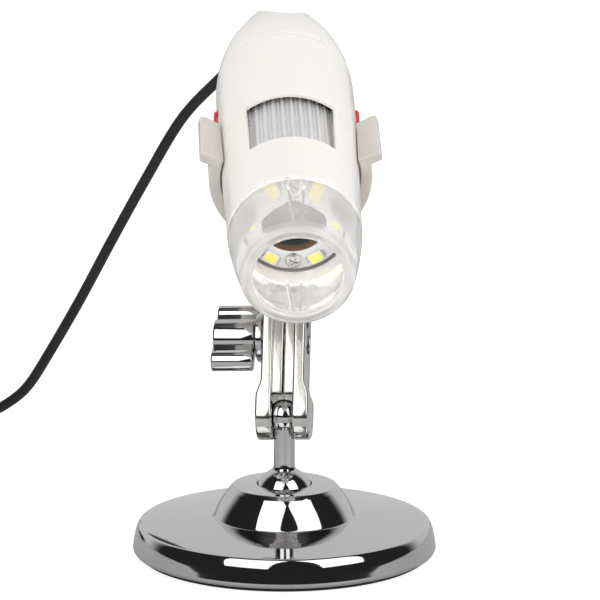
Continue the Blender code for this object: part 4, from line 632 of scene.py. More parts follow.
def cutWindow(shell):
    # a notch in the rear edge, open towards the rear shell
    half = math.radians(barrel["windowHalfAngle"])
    start, end = barrel["windowStart"], barrel["frontEnd"] + 1 * mm
    inner, outer = barrel["mouthBore"] * 0.8, barrel["radius"] * 1.15
    corner = barrel["windowCorner"]
    sweep = roundedOutline([(-half * outer, start, corner), (half * outer, start, corner),
                            (half * outer, end, 0), (-half * outer, end, 0)], 6)
    outline = subdivideLoop(sweep, 1.2 * mm)
    bm = bmesh.new()
    rings = []
    for reach in (inner, outer):
        rings.append([bm.verts.new((reach * math.sin(u / outer), v, reach * math.cos(u / outer)))
                      for u, v in outline])
    bridge(bm, rings)
    for ring in rings:
        bmesh.ops.triangulate(bm, faces=[bm.faces.new(ring)])
    carve(shell, solid(bm, scopeFrame))
    bevelEdges(shell, 0.14 * mm, 2, limit=55.0)


def subdivideLoop(points, step):
    dense = []
    for k in range(len(points)):
        start, end = Vector(points[k]), Vector(points[(k + 1) % len(points)])
        pieces = max(1, round((end - start).length / step))
        dense += [tuple(start.lerp(end, j / pieces)) for j in range(pieces)]
    return dense


def cutButtonHoles(shell):
    hole = barrel["buttonRadius"] + cable["joinGap"]
    reach = barrel["radius"] + 2 * mm
    for side in (-1, 1):
        bore = rod(hole, side * reach / 2, side * reach, 64, "X")
        carve(shell, solid(bore, scopeFrame @ Matrix.Translation((0, barrel["buttonPlace"], 0))))


addShells()
print("shells ready")


# Focus wheel with a fine rib between each pair of broad ones
wheel = {
    **millimetres(radius=14.7, bore=9.5, start=15.0, end=38.2, ribDepth=0.60, edge=0.25),
    "ribs": 42,
}


def addWheel():
    # shares of one rib's pitch, and how deep below the crest
    steps = ((0.00, 0.0), (0.06, 0.0), (0.22, 0.0), (0.28, 0.10), (0.33, 0.75), (0.38, 1.0), (0.52, 1.0),
             (0.57, 0.80), (0.61, 0.56), (0.74, 0.56), (0.79, 0.80), (0.84, 1.0), (0.93, 1.0), (0.97, 0.7))
    profile = []
    for rib in range(wheel["ribs"]):
        for turnShare, depthShare in steps:
            angle = math.tau * (rib + turnShare) / wheel["ribs"]
            profile.append((angle, wheel["radius"] - wheel["ribDepth"] * depthShare))
    start, end, edge, bore = wheel["start"], wheel["end"], wheel["edge"], wheel["bore"]
    rings = [(start, edge), (start + edge, 0.0), (end - edge, 0.0), (end, edge)]
    bm = bmesh.new()
    loops = []
    for place, shrink in rings:
        loops.append([bm.verts.new(((r - shrink) * math.sin(a), place, (r - shrink) * math.cos(a)))
                      for a, r in profile])
    for place in (end, start):
        loops.append([bm.verts.new((bore * math.sin(a), place, bore * math.cos(a))) for a, r in profile])
    bridge(bm, loops + loops[:1])
    addMesh("focusWheel", bm, scopeFrame, paint["silverPlastic"], "wheel", ("focus_wheel",),
            crease=28.0)


addWheel()


# Clear nose cover
cover = {
    **millimetres(length=18.7, rear=0.3, rim=12.1, mouth=10.3, lip=2.0, frostedLength=2.6, wall=1.5,
        spigotOuter=14.0, spigotWall=1.0, spigotLength=3.8, ribDepth=1.4, ribHalf=0.25, ribSetback=1.8,
        ribRearSpread=1.7, ribFrontSpread=0.7),
    "outerShares": ((0.0, 1.0), (0.15, 0.990), (0.34, 0.964), (0.53, 0.935), (0.71, 0.900), (0.88, 0.858),
                    (1.0, 0.822)),
    "sides": 180,
}


def addCover():
    length, rear, wall = cover["length"], -cover["rear"], cover["wall"]
    reach = length - cover["rear"]
    full = barrelRadius(0.0)
    front = -length
    rim = cover["rim"]
    corners = []
    for share in spread(0.0, 0.9, 18):
        corners.append((full * curveThrough(cover["outerShares"], share), rear - reach * share, 0))
    corners[0] = (corners[0][0], corners[0][1], 0.25 * mm)
    corners += [(full * 0.848, rear - reach * 0.95, 0.9 * mm), (rim, front, 0.7 * mm),
                (cover["mouth"], front, 0.5 * mm), (cover["mouth"], front + cover["lip"], 0.4 * mm)]
    spigotInner = cover["spigotOuter"] - cover["spigotWall"]
    corners.append((full * 0.858 - wall, front + cover["lip"], 0.5 * mm))
    for share in spread(0.75, 0.08, 10):
        corners.append((min(full * curveThrough(cover["outerShares"], share) - wall, spigotInner),
                        rear - reach * share, 0))
    corners += [(spigotInner, cover["spigotLength"], 0.2 * mm),
                (cover["spigotOuter"], cover["spigotLength"], 0.2 * mm),
                (cover["spigotOuter"], rear, 0.1 * mm)]
    piece = addMesh("noseCover", turned(roundedOutline(corners, 6), cover["sides"]), scopeFrame,
                    paint["clearPlastic"], None)
    for upright in (-1, 1):
        for side in (-1, 1):
            carve(piece, solid(coverRib(upright, side, spigotInner, full * 0.858 - wall, front),
                               scopeFrame),
                  "UNION")
    paintWhere(piece, "frostedRim", lambda place, _: place < front + cover["frostedLength"])
    piece.visible_shadow = False  # light reaches the lamp board through the clear wall
    settle(piece, "cover", ("nose_cover",))


def coverRib(upright, side, rearRadius, frontRadius, front):
    half, depth = cover["ribHalf"], cover["ribDepth"]
    outlines = []
    for x, radius in ((side * cover["ribRearSpread"], rearRadius),
                      (side * cover["ribFrontSpread"], frontRadius)):
        crest, root = radius - depth, radius + cover["wall"] / 2
        outlines.append(((x - half, upright * crest), (x + half, upright * crest),
                         (x + half, upright * root), (x - half, upright * root)))
    return lofted(outlines, (-cover["ribSetback"], front + cover["lip"] / 2))


addCover()
print("cover and wheel ready")


# Lamp ring: white board, LEDs with phosphor windows, two screws and small parts
lamp = {
    **millimetres(boardRadius=12.6, boardHole=7.8, boardStart=4.6, boardThickness=1.2, ledCircle=10.5,
        ledLength=3.5, ledWidth=2.8, ledThickness=0.8, screwCircle=10.2, screwHead=2.0,
        screwHeadThickness=0.8),
    "places": 12,
}


def addLamp():
    start = lamp["boardStart"]
    end = start + lamp["boardThickness"]
    hole, radius = lamp["boardHole"], lamp["boardRadius"]
    ring = roundedOutline([(hole, start, 0.1 * mm), (radius, start, 0.1 * mm), (radius, end, 0.1 * mm),
                           (hole, end, 0.1 * mm)], 3)
    board = addMesh("ledBoard", turned(ring, 128), scopeFrame, paint["whiteBoard"], "microscope",
                    ("led_board",))
    paintWhere(board, "boardCore", lambda _, reach: reach < hole + 0.02 * mm)
    places = lamp["places"]
    for k in range(places):
        turn = scopeFrame @ Matrix.Rotation(math.tau * k / places, 4, "Y")
        if k % (places // 2) == 0:
            addLampScrew(k * 2 // places + 1, turn)
        elif k % 2 == 1:
            addLed(k // 2 + 1, turn)


def addLed(number, turn):
    top = lamp["boardStart"] - 0.1 * mm
    low = top - lamp["ledThickness"]
    halfLength, halfWidth = lamp["ledLength"] / 2, lamp["ledWidth"] / 2
    middle = turn @ Matrix.Translation((0, 0, lamp["ledCircle"]))
    outline = roundedBox(halfLength, halfWidth, 0.15 * mm, 2)
    body = addMesh(f"led_body_{number}", chamfered(outline, top, low, 0.08 * mm, steps=1),
                   middle, paint["ledWhite"], "microscope", (f"led_{number}",))
    gel = roundedBox(halfLength * 0.80, halfWidth * 0.84, 0.35 * mm, 4)
    cavity = solid(lofted((gel, gel), (low - 0.2 * mm, low + 0.15 * mm)), middle)
    carve(body, cavity)
    small = inset(gel, 0.12 * mm)
    # phosphor window; its finish carries a painted glow
    addMesh(f"led_gel_{number}", lofted((small, gel, gel),
                                        (low + 0.03 * mm, low + 0.06 * mm, low + 0.3 * mm)),
            middle, paint["phosphor"], "microscope", ())
    for side in (-1, 1):
        pad = roundedBox(0.35 * mm, halfWidth * 0.62, 0.1 * mm, 2)
        spot = middle @ Matrix.Translation((side * (halfLength + 0.3 * mm), 0, 0))
        addMesh(f"led_pad_{number}_{'l' if side < 0 else 'r'}",
                chamfered(pad, top + 0.08 * mm, top - 0.16 * mm, 0.06 * mm, steps=2),
                spot, paint["solder"], "microscope", ())


def addLampScrew(number, turn):
    seat = lamp["boardStart"]
    head, thick = lamp["screwHead"], lamp["screwHeadThickness"]
    outline = [(0.0, seat - thick)]
    outline += [(head * math.sin(a), seat - thick * (0.25 + 0.75 * math.cos(a) ** 0.8))
                for a in spread(0.15, math.pi / 2 - 0.02, 10)]
    outline += [(head, seat), (0.0, seat)]
    spot = turn @ Matrix.Translation((0, 0, lamp["screwCircle"]))
    screw = addMesh(f"lamp_screw_{number}", turned(outline, 48), spot, paint["chrome"], None)
    for quarter in (0.35, 0.35 + math.pi / 2):
        slot = extruded(roundedBox(head * 0.55, 0.17 * mm, 0.05 * mm, 2), seat - 2 * thick,
                        seat - thick * 0.55)
        carve(screw, solid(slot, spot @ Matrix.Rotation(quarter, 4, "Y")))
    settle(screw, "microscope", (f"led_board_screw_{number}",))


addLamp()
print("lamp ready")


# Optics seen through the lens hole
optics = {
    **millimetres(barrelRadius=7.6, barrelStart=11.2, barrelEnd=37.2, bore=5.8, lip=4.6, lensStart=12.7,
        lensEnd=15.3),
}


def addOptics():
    start, end = optics["barrelStart"], optics["barrelEnd"]
    bore, lip = optics["bore"], optics["lip"]
    steps = [(lip, start, 0.15 * mm), (optics["barrelRadius"], start, 0.3 * mm),
             (optics["barrelRadius"], end, 0.2 * mm), (bore, end, 0)]
    for k in range(6):
        place = end - 3 * mm - k * 3 * mm
        steps += [(bore, place, 0), (bore - 0.3 * mm, place, 0), (bore - 0.3 * mm, place - 0.4 * mm, 0),
                  (bore, place - 0.4 * mm, 0)]
    steps += [(bore, start + 1.2 * mm, 0), (lip, start + 1.2 * mm, 0.1 * mm)]
    addMesh("lensBarrel", turned(roundedOutline(steps, 3), 96), scopeFrame, paint["mattBlack"], "optics",
            ("lens_barrel",))
    first, last, rim = optics["lensStart"], optics["lensEnd"], bore - 0.3 * mm
    outline = [(0.0, first - 0.5 * mm)]
    outline += [(rim * t, first - 0.5 * mm * (1 - t * t)) for t in spread(0.1, 1.0, 9)]
    outline += [(rim * t, last + 0.8 * mm * (1 - t * t)) for t in spread(1.0, 0.1, 9)]
    outline += [(0.0, last + 0.8 * mm)]
    addMesh("lens", turned(outline, 96), scopeFrame, paint["lensGlass"], "optics", ("lens",))


addOptics()


# Red buttons, one each side
button = {
    **millimetres(top=17.65, flange=3.6, inner=12.7, flangeThickness=0.9),
}


def addButtons():
    radius = barrel["buttonRadius"]
    flangeEnd = button["inner"] + button["flangeThickness"]
    inner, flange, top = button["inner"], button["flange"], button["top"]
    corners = [(0.0, inner, 0), (flange, inner, 0), (flange, flangeEnd, 0), (radius, flangeEnd, 0),
               (radius, top - 0.15 * mm, 0.7 * mm), (radius * 0.55, top, 1.2 * mm), (0.0, top, 0)]
    outline = roundedOutline(corners, 6, closed=False)
    place = scopeFrame @ Matrix.Translation((0, barrel["buttonPlace"], 0))
    for side, name in ((-1, "left"), (1, "right")):
        flipped = [(r, side * h) for r, h in outline]
        addMesh(f"{name}Button", turned(flipped, 72, "X"), place, paint["redPlastic"], f"button_{name}",
                (f"{name}_button",))


addButtons()


# Cradle that wraps the barrel from below, lips flared out
cradle = {
    **millimetres(start=24.1, length=17.5, outer=19.4, fit=0.35, lipOuter=21.7, lipHeight=6.1,
        lipThickness=2.1, edge=0.55, bossRadius=3.8, bossStart=7.6, bossEnd=11.0),
    "openAngle": 11.0,  # degrees above level
}


def cradleSection(bore):
    outer, rise = cradle["outer"], math.radians(cradle["openAngle"])
    lip, height, thick = cradle["lipOuter"], cradle["lipHeight"], cradle["lipThickness"]
    floor = arcPoints((0, 0), outer, -math.pi - rise, rise, 72)
    right = roundedOutline([(floor[-1][0], floor[-1][1], 0), (lip, height - thick / 2, 0.8 * mm),
                            (lip - thick / 4, height + thick / 2, 0.7 * mm),
                            (lip - thick, height + thick / 2, 0.7 * mm),
                            (bore * math.cos(rise), bore * math.sin(rise) + thick * 0.5, 0)], 5,
                            closed=False)[1:-1]
    insideRise = rise + thick / outer
    inside = arcPoints((0, 0), bore, insideRise, -math.pi - insideRise, 72)
    left = [(-x, z) for x, z in reversed(right)]
    return floor + right + inside + left


def addCradle():
    start, end = cradle["start"], cradle["start"] + cradle["length"]
    fit = cradle["fit"]
    first, last = cradleSection(barrelRadius(start) + fit), cradleSection(barrelRadius(end) + fit)
    sections, places = roundedEnds(first, last, start, end, cradle["edge"], 4)
    piece = addMesh("cradleBody", lofted(sections, places), scopeFrame, paint["cradlePlastic"], None)
    stud = headFrame
    radius, low, high = cradle["bossRadius"], cradle["bossStart"], cradle["bossEnd"]
    boss = turned(roundedOutline([(0.0, low, 0), (radius, low, 0.4 * mm), (radius * 1.15, high, 0),
                                  (0.0, high, 0)], 4), 64, "Z")
    carve(piece, solid(boss, stud), "UNION")
    settle(piece, "cradle", ("cradle",))


addCradle()


# Clamp: two slot-shaped plates with sockets at both ends, and the screw that squeezes them
clamp = {
    **millimetres(lobe=5.8, lobeOuter=6.35, lobeLength=3.4, flare=4.6, mouth=4.6, outer=5.2, rib=2.5,
        ribHalf=4.3, ballRadius=3.95, pocket=4.25, gap=0.15, edge=0.55, ribEdge=0.5, headPocket=4.1,
        headSeat=2.8),
}


def stadium(radius, length, stepsAlong):
    # slot outline as (across, along) pairs: left side and right side points match by height
    side = [(radius * math.cos(a), radius * math.sin(a)) for a in spread(-math.pi / 2, 0.0, 16)]
    side += [(radius, z) for z in spread(0.0, length, stepsAlong)[1:]]
    side += [(radius * math.cos(a), length + radius * math.sin(a))
             for a in spread(0.0, math.pi / 2, 16)[1:]]
    return side


def slab(outlines, faces):
    # solid of mirrored slot rings; each ring's x comes from a function of its height
    bm = bmesh.new()
    rings = []
    for outline, face in zip(outlines, faces):
        right = [bm.verts.new((face(z), max(y, 0.0), z)) for y, z in outline]
        left = [bm.verts.new((face(z), -y, z)) for y, z in outline[1:-1]]
        rings.append(right + left[::-1])
    bridge(bm, rings)
    for ring in (rings[0], rings[-1]):
        half = len(outlines[0])
        bm.faces.new((ring[0], ring[1], ring[-1]))
        for k in range(1, half - 2):
            bm.faces.new((ring[k], ring[k + 1], ring[-k - 1], ring[-k]))
        bm.faces.new((ring[half - 2], ring[half - 1], ring[half]))
    return bm


def addClamp():
    reach, lobe, edge = clampReach, clamp["lobe"], clamp["edge"]
    waist = clamp["lobeLength"] + clamp["flare"]
    steps = 60

    def outerFace(z):
        z = min(z, reach - z)
        share = min(max((waist - z) / clamp["flare"], 0.0), 1.0)
        return clamp["outer"] + (clamp["lobeOuter"] - clamp["outer"]) * share * share * (3 - 2 * share)

    for side, name in ((-1, "left"), (1, "right")):
        outlines, faces = [], []
        for turn in spread(0.0, math.pi / 2, 4):
            shrink = edge * (1 - math.sin(turn))
            outlines.append(stadium(lobe - shrink, reach, steps))
            depth = clamp["rib"] + edge * (1 - math.cos(turn))
            faces.append(lambda z, depth=depth: side * depth)
        for turn in spread(math.pi / 2, 0.0, 4):
            shrink = edge * (1 - math.sin(turn))
            outlines.append(stadium(lobe - shrink, reach, steps))
            depth = edge * (1 - math.cos(turn))
            faces.append(lambda z, depth=depth: side * (outerFace(z) - depth))
        plate = addMesh(f"clampPlate{name.capitalize()}", slab(outlines, faces), clampFrame,
                        paint["clampChrome"], None, crease=30.0)
        for place in (0.0, reach):
            hollow = turned([(r, x) for r, x in ballOutline(clamp["pocket"], 0.0, 24)], 64, "X")
            carve(plate, solid(hollow, clampFrame @ Matrix.Translation((0, 0, place))))
        if side > 0:
            radius, seat = clamp["headPocket"], clamp["headSeat"]
            carve(plate, solid(rod(radius, seat, 2 * lobe, 64, "X"), knobFrame))
        settle(plate, "clamp", (f"clamp_plate_{name}",))
        addClampRib(side, name)


def addClampRib(side, name):
    # narrower inner half of a plate, rounded along its front and back edges
    near, far = clamp["gap"], clamp["rib"] + 0.3 * mm
    half, edge = clamp["ribHalf"], clamp["ribEdge"]
    outline = roundedOutline([(side * near, -half, edge), (side * far, -half, 0), (side * far, half, 0),
                              (side * near, half, edge)], 4)
    low, high = clamp["mouth"], clampReach - clamp["mouth"]
    addMesh(f"clampRib{name.capitalize()}", chamfered(outline, low, high, 0.3 * mm, "Z"), clampFrame,
            paint["clampChrome"], "clamp", ())


def ballOutline(radius, centre, steps, low=-1.0, high=1.0):
    points = []
    for a in spread(math.asin(low), math.asin(high), steps):
        r = radius * math.cos(a)
        points.append((0.0 if r < radius * 1e-5 else r, centre + radius * math.sin(a)))
    return points


addClamp()


screw = {
    **millimetres(head=3.8, headStart=3.1, headEnd=4.9, radius=2.0, tip=-15.8),
}
washer = {
    **millimetres(radius=5.9, bore=2.3, start=-5.3, end=-6.9),
}
knob = {
    **millimetres(start=-7.2, end=-17.3, hub=4.6, reach=10.5, tip=2.5, neck=1.9, bore=2.3, boreEnd=-16.1,
        edge=0.5),
    "angle": -32.0,  # degrees
}


def addScrewAndKnob():
    head, first, last = screw["head"], screw["headStart"], screw["headEnd"]
    corners = [(0.0, screw["tip"], 0), (screw["radius"], screw["tip"], 0.2 * mm),
               (screw["radius"], first, 0),
               (head, first, 0), (head, first + 0.5 * mm, 0.4 * mm), (head * 0.6, last, 1.5 * mm),
               (0.0, last, 0)]
    addMesh("clampScrew", turned(roundedOutline(corners, 6, closed=False), 72, "X"), knobFrame,
            paint["chrome"],
            "clamp", ("clamp_screw",))
    edge = 0.3 * mm
    corners = [(washer["bore"], washer["end"], 0), (washer["radius"], washer["end"], edge),
               (washer["radius"], washer["start"], edge), (washer["bore"], washer["start"], 0)]
    addMesh("knobWasher", turned(roundedOutline(corners, 5), 96, "X"), knobFrame, paint["chrome"], "clamp",
            ("knob_washer",))
    outline = knobOutline()
    place = knobFrame @ Matrix.Rotation(math.radians(knob["angle"]), 4, "X")
    piece = addMesh("wingKnob", chamfered(outline, knob["end"], knob["start"], knob["edge"], "X", 4), place,
                    paint["chrome"], None)
    carve(piece, solid(rod(knob["bore"], knob["boreEnd"], 0.0, 48, "X"), knobFrame))
    settle(piece, "knob", ("wing_knob",))


def knobOutline():
    tipPlace = knob["reach"] - knob["tip"]
    neck = math.acos(knob["neck"] / knob["tip"])
    root = math.acos(knob["neck"] / knob["hub"])
    points = []
    for turn in (0.0, math.pi):
        wing = arcPoints((0, tipPlace), knob["tip"], -neck, math.pi + neck, 28)
        wing += arcPoints((0, 0), knob["hub"], math.pi - root, math.pi + root, 14)
        points += [(u * math.cos(turn) - v * math.sin(turn), u * math.sin(turn) + v * math.cos(turn))
                   for u, v in wing]
    return points


addScrewAndKnob()


# Posts with their balls
post = {
    **millimetres(hubBall=7.0, rod=2.55, length=19.5),
}
stud = {
    **millimetres(neck=2.1, collar=3.6, collarStart=6.4, collarEnd=7.3, end=11.3, thread=1.5),
}


def addPosts():
    ball, rod, upper = post["hubBall"], post["rod"], clamp["ballRadius"]
    length = post["length"]
    low, high = math.sqrt(ball ** 2 - rod ** 2), length - math.sqrt(upper ** 2 - rod ** 2)
    outline = ballOutline(ball, 0.0, 40, -1.0, low / ball * 0.985)
    outline += [(rod + 0.12 * mm, low + 0.35 * mm), (rod, low + 0.8 * mm), (rod, high - 0.6 * mm)]
    outline += ballOutline(upper, length, 28, (high - length) / upper * 0.97, 1.0)
    addMesh("lowerPost", turned(outline, 96, "Z"), Matrix.Translation(hubBall), paint["chrome"], "post",
            ("lower_post",))
    neck = stud["neck"]
    top = math.sqrt(upper ** 2 - neck ** 2)
    corners = [(r, h, 0) for r, h in ballOutline(upper, 0.0, 28, -1.0, top / upper)]
    edge = 0.25 * mm
    corners += [(neck, stud["collarStart"], 0.2 * mm), (stud["collar"], stud["collarStart"], edge),
                (stud["collar"], stud["collarEnd"], edge), (stud["thread"], stud["collarEnd"], 0),
                (stud["thread"], stud["end"], 0.2 * mm), (0.0, stud["end"], 0)]
    addMesh("upperPost", turned(roundedOutline(corners, 4, closed=False), 72, "Z"), headFrame,
            paint["chrome"],
            "stud", ("upper_post",))


addPosts()
print("clamp and posts ready")


# Round base with its raised hub
base = {
    **millimetres(foot=34.7, rim=36.4, top=34.4, footHeight=0.7, rimHeight=2.0, draftHeight=4.4,
        edgeHeight=7.8, hubFoot=17.2, hubTop=13.2, hubFootHeight=9.5, hubShoulder=16.0, crown=17.2,
        mouth=6.65,
        bulge=0.25, padPocket=33.7, padRoof=1.6, hollow=14.4, hollowTop=4.7, cupBore=8.6, socket=7.3),
    "draft": 9.5,  # degrees
    "crestTurn": 56.5,  # degrees
    "sides": 256,
}


def addBase():
    b = base
    corners = [(b["mouth"], b["crown"] - 0.1 * mm, 0), (b["mouth"] + 0.3 * mm, b["crown"], 0.2 * mm),
               (b["hubTop"] - 0.9 * mm, b["crown"] - 0.25 * mm, 0.6 * mm)]
    for share in spread(0.0, 1.0, 10):
        r = b["hubTop"] + (b["hubFoot"] - b["hubTop"]) * share
        z = b["hubShoulder"] + (b["hubFootHeight"] - b["hubShoulder"]) * share
        swell = b["bulge"] * math.sin(math.pi * share)
        corners.append((r + swell, z + swell * 0.6, 0.5 * mm if share in (0.0, 1.0) else 0))
    for share in spread(0.15, 0.9, 5):
        r = b["hubFoot"] + (b["top"] - b["hubFoot"]) * share
        z = b["hubFootHeight"] + (b["edgeHeight"] - b["hubFootHeight"]) * share
        corners.append((r, z + 0.12 * mm * math.sin(math.pi * share), 0))
    corners.append((b["top"], b["edgeHeight"], 0.35 * mm))
    last = math.radians(b["crestTurn"])
    side = b["rim"] - (b["draftHeight"] - b["rimHeight"]) * math.tan(math.radians(b["draft"]))
    for turn in spread(0.12, last, 10):
        corners.append((b["top"] + (side - b["top"]) * math.sin(turn) / math.sin(last),
                        b["edgeHeight"] - (b["edgeHeight"] - b["draftHeight"])
                        * (1 - math.cos(turn)) / (1 - math.cos(last)), 0))
    for share in (0.5, 0.9, 1.0):
        corners.append((side + (b["rim"] - side) * share, b["draftHeight"]
                        + (b["rimHeight"] - b["draftHeight"]) * share, 0))
    for turn in spread(0.15, math.pi / 2, 8):
        corners.append((b["rim"] - (b["rim"] - b["foot"]) * (1 - math.cos(turn)),
                        b["rimHeight"] - (b["rimHeight"] - b["footHeight"]) * math.sin(turn), 0))
    corners += [(b["padPocket"], b["footHeight"], 0), (b["padPocket"], b["padRoof"], 0),
                (b["hollow"], b["padRoof"], 0), (b["hollow"], b["hollowTop"], 0),
                (b["cupBore"], b["hollowTop"], 0), (b["cupBore"], hubBall.z, 0)]
    corners += [(r, z, 0) for r, z in ballOutline(b["socket"], hubBall.z, 8, 0.0, 0.4)]
    addMesh("basePlate", turned(roundedOutline(corners, 5), b["sides"], "Z"), worldFrame, paint["chrome"],
            "base", ("base_plate",))


addBase()
pad = {
    **millimetres(radius=34.6, thickness=0.66, plug=33.4, plugTop=1.3),
}
padCorners = [(0.0, 0.0, 0), (pad["radius"], 0.0, 0.2 * mm), (pad["radius"], pad["thickness"], 0.1 * mm),
              (pad["plug"], pad["thickness"], 0), (pad["plug"], pad["plugTop"], 0.1 * mm),
              (0.0, pad["plugTop"], 0)]
addMesh("basePad", turned(roundedOutline(padCorners, 4, closed=False), 192, "Z"), worldFrame, paint["pad"],
        "base", ("base_pad",))
print("base ready")


# Strain relief on the tail
relief = {
    **millimetres(neck=2.4, flange=3.6, boot=2.9, tip=2.1),
    "rings": 5,
}


def addRelief():
    start, length = cable["bootStart"], cable["bootLength"]
    corners = [(0.0, -1.5 * mm, 0), (relief["flange"], -1.5 * mm, 0), (relief["flange"], -0.3 * mm, 0),
               (relief["neck"], -0.3 * mm, 0), (relief["neck"], start, 0)]
    rings = relief["rings"]
    for k in range(rings):
        place, step = start + length * k / rings, length / rings
        radius = relief["boot"] + (relief["tip"] - relief["boot"]) * k / (rings - 1)
        groove = radius - 0.4 * mm
        edge = 0.15 * mm
        corners += [(radius, place, edge), (radius, place + step * 0.62, edge),
                    (groove, place + step * 0.68, edge), (groove, place + step * 0.96, edge)]
    corners += [(1.7 * mm, start + length, 0), (0.0, start + length, 0)]
    return addMesh("strainRelief", turned(roundedOutline(corners, 3, closed=False), 64), reliefFrame(),
                   paint["blackRubber"], "microscope", ("strain_relief",))


addRelief()


# Plug and tie
plug = {
    **millimetres(bootLength=9.0, gripLength=20.0, gripWidth=14.0, gripHeight=7.4, gripRound=1.4,
        shellWidth=12.0, shellHeight=4.5, shellLength=12.0, shellWall=0.4),
}


def addPlug():
    line, _ = cableLine()
    place = Matrix.Translation(line[-1] + Vector((cable["joinGap"], 0, 0)))
    radius = cable["radius"]
    boot = radius * 1.3
    start, end = plug["bootLength"], plug["bootLength"] + plug["gripLength"]
    halfW, halfH = plug["gripWidth"] / 2, plug["gripHeight"] / 2
    shapes = [roundedBox(boot, boot, boot * 0.8, 4), roundedBox(boot * 1.55, boot * 1.45, boot, 4)]
    places = [0.0, start * 0.85]
    for share in (0.0, 0.5, 1.0):
        shrink = 0.9 * mm * (1 - share) ** 2
        shapes.append(roundedBox(halfW - shrink, halfH - shrink, plug["gripRound"], 4))
        places.append(start + plug["gripRound"] * share)
    ridges = 5
    for k in range(ridges):
        first = start + 4.5 * mm + k * 2.2 * mm
        for offset, depth in ((0.0, 0.0), (0.25 * mm, 0.35 * mm), (0.95 * mm, 0.35 * mm), (1.2 * mm, 0.0)):
            shapes.append(roundedBox(halfW - depth, halfH - depth * 0.25, plug["gripRound"], 4))
            places.append(first + offset)
    shapes += [roundedBox(halfW, halfH, plug["gripRound"], 4),
               roundedBox(halfW - 0.3 * mm, halfH - 0.3 * mm, plug["gripRound"], 4)]
    places += [end - 0.3 * mm, end]
    grip = addMesh("plugGrip", lofted(shapes, places, "X"), place, paint["blackPlastic"], None)
    width, height, wall = plug["shellWidth"] / 2, plug["shellHeight"] / 2, plug["shellWall"]
    socket = roundedBox(width + 0.1 * mm, height + 0.1 * mm, 2 * wall, 3)
    carve(grip, solid(extruded(socket, end - 2.2 * mm, end + 2 * mm, "X"), place))
    settle(grip, "microscope", ("usb_plug_grip",))
    shell = addMesh("plugShell", extruded(roundedBox(width, height, 2 * wall, 4), end - 2 * mm,
                                          end + plug["shellLength"], "X"), place, paint["steel"], None)
    inside = roundedBox(width - wall, height - wall, wall, 3)
    carve(shell, solid(extruded(inside, end - 1.6 * mm, end + plug["shellLength"] + 2 * mm, "X"), place))
    for side in (-1, 1):
        opening = roundedBox(1.25 * mm, 1.15 * mm, 0.1 * mm, 2)
        spot = place @ Matrix.Translation((end + 6.4 * mm, side * 2.4 * mm, 0))
        carve(shell, solid(extruded(opening, -height - mm, height + mm, "Z"), spot))
    settle(shell, "microscope", ("usb_plug_shell",))
    return [grip, shell]


def addTie():
    pitch, radius = cable["coilPitch"], cable["radius"]
    layers = 4
    high = cable["coilFoot"] + 2 * radius + (layers - 1) * pitch + 0.8 * mm
    low = 0.05 * mm
    inner = cable["coilRadius"] - pitch * 2.75 - radius - 0.6 * mm
    outer = cable["coilRadius"] + pitch * 0.25 + radius + 0.6 * mm
    thick = 0.5 * mm
    middle, halfWidth = (inner + outer) / 2, (outer - inner) / 2 + thick
    halfHeight, centre = (high - low) / 2, (high + low) / 2
    place = Matrix.Translation((*cable["coilCentre"], centre)) @ Matrix.Rotation(math.pi * 2 / 3, 4, "Z")
    place = place @ Matrix.Translation((middle, 0, 0))
    outline = roundedBox(halfWidth, halfHeight, pitch / 2, 6)
    tie = addMesh("cableTie", chamfered(outline, -2.5 * mm, 2.5 * mm, 0.12 * mm, steps=2), place,
                  paint["blackRubber"], None)
    opening = roundedBox(halfWidth - thick, halfHeight - thick, pitch / 2 - thick, 6)
    carve(tie, solid(extruded(opening, -5 * mm, 5 * mm), place))
    settle(tie, "microscope", ("cable_tie",))
    return tie


plugPieces = addPlug()
tie = addTie()
print("cable, plug and tie ready")


# CAD nodes that stay get their finish
kept = {
    "usb_plug_tongue": "blackPlastic", "ball_cup": "nylon", "disc_spring": "steel",
    "retainer_plate": "steel",
    "retainer_screw_1": "steel", "retainer_screw_2": "steel", "retainer_screw_3": "steel",
    "cradle_nut": "steel", "optics_tube": "mattBlack", "image_sensor": "mattBlack",
    "sensor_board": "greenBoard", "main_board": "greenBoard", "left_switch": "blackPlastic",
    "right_switch": "blackPlastic", "led_carrier": "boardCore",
}
for node, finish in kept.items():
    materials = frame["nodes"][node].data.materials
    materials.clear()
    materials.append(paint[finish])


# Studio: pale floor, a soft grey surround, two tall windows and a panel overhead
studio = {
    "floorHalf": 4.0,
    "floorColour": (0.52, 0.52, 0.52),
    "floorGlow": (0.75, 0.75, 0.75),  # seen directly and through the clear nose, for a white backdrop
    "surround": (0.68, 0.68, 0.68),
    "nearSide": (0.022, 0.022, 0.024),
    "ceiling": (0.12, 0.12, 0.12),
    "skyStrength": 1.0,
    "centre": (0.0, 0.0, 0.05),
}


def addFloor():
    bm = bmesh.new()
    half = studio["floorHalf"]
    corners = [bm.verts.new((x, y, 0)) for x, y in ((-half, -half), (half, -half), (half, half),
                                                    (-half, half))]
    bm.faces.new(corners)
    material = makeMaterial("floor", {"colour": studio["floorColour"], "roughness": (0.5, 0.6),
                                      "tintAmount": 0.05})
    nodes, links = material.node_tree.nodes, material.node_tree.links
    shader = nodes["Principled BSDF"]
    shader.inputs["Emission Color"].default_value = (*studio["floorGlow"], 1.0)
    seen, either = nodes.new("ShaderNodeLightPath"), nodes.new("ShaderNodeMath")
    either.operation = "MAXIMUM"
    links.new(seen.outputs["Is Camera Ray"], either.inputs[0])
    links.new(seen.outputs["Is Transmission Ray"], either.inputs[1])
    links.new(either.outputs["Value"], shader.inputs["Emission Strength"])
    addMesh("floor", bm, Matrix.Translation((0, 0, 0)), material, None)


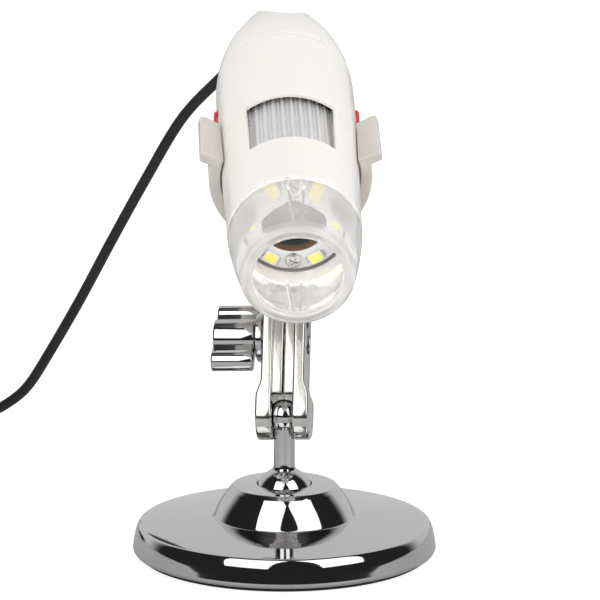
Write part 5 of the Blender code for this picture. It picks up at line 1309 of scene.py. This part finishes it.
def addLight(name, azimuth, elevation, distance, size, radiance, mirrored=True):
    # azimuth in degrees from the front, positive to the right; radiance sets how bright it looks
    data = bpy.data.lights.new(name, "AREA")
    data.shape = "RECTANGLE"
    data.size, data.size_y = size
    data.energy = radiance * math.pi * size[0] * size[1]
    light = bpy.data.objects.new(name, data)
    bpy.context.scene.collection.objects.link(light)
    turn, lift = math.radians(azimuth), math.radians(elevation)
    away = Vector((math.sin(turn) * math.cos(lift), -math.cos(turn) * math.cos(lift), math.sin(lift)))
    light.location = Vector(studio["centre"]) + away * distance
    light.rotation_euler = (-away).to_track_quat("-Z", "Y").to_euler()
    light.visible_glossy = mirrored  # a fill that the chrome doesn't show
    light.visible_transmission = mirrored


def addSky():
    # grey surround behind and beside, dark towards the camera, pale overhead
    world = bpy.data.worlds.new("studio")
    bpy.context.scene.world = world
    world.use_nodes = True
    nodes, links = world.node_tree.nodes, world.node_tree.links
    background = nodes["Background"]
    place = nodes.new("ShaderNodeTexCoord")
    split = nodes.new("ShaderNodeSeparateXYZ")
    links.new(place.outputs["Generated"], split.inputs["Vector"])
    last = None
    for axis, low, high, colour in (("Y", 0.30, 0.65, "surround"), ("Z", 0.90, 0.98, "ceiling")):
        ramp = nodes.new("ShaderNodeMapRange")
        ramp.interpolation_type = "SMOOTHSTEP"
        ramp.inputs["From Min"].default_value = low
        ramp.inputs["From Max"].default_value = high
        links.new(split.outputs[axis], ramp.inputs["Value"])
        mix = nodes.new("ShaderNodeMix")
        mix.data_type = "RGBA"
        if last:
            links.new(last, mix.inputs["A"])
        else:
            mix.inputs["A"].default_value = (*studio["nearSide"], 1.0)
        mix.inputs["B"].default_value = (*studio[colour], 1.0)
        links.new(ramp.outputs["Result"], mix.inputs["Factor"])
        last = mix.outputs["Result"]
    links.new(last, background.inputs["Color"])
    background.inputs["Strength"].default_value = studio["skyStrength"]


addFloor()
addSky()
addLight("leftWindow", -29.0, 38.0, 1.3, (0.85, 1.25), 1.9)
addLight("rightWindow", 46.0, 38.0, 1.3, (0.85, 1.25), 1.9)
addLight("leftFill", -80.0, 15.0, 1.4, (1.4, 1.1), 2.4, mirrored=False)
addLight("rightFill", 80.0, 15.0, 1.4, (1.4, 1.1), 2.4, mirrored=False)
addLight("frontFill", 0.0, 12.0, 1.6, (1.4, 0.9), 1.2, mirrored=False)
addLight("topFill", 180.0, 70.0, 1.4, (1.2, 1.2), 0.8, mirrored=False)
bpy.context.scene.view_settings.view_transform = "Standard"
print("studio ready")
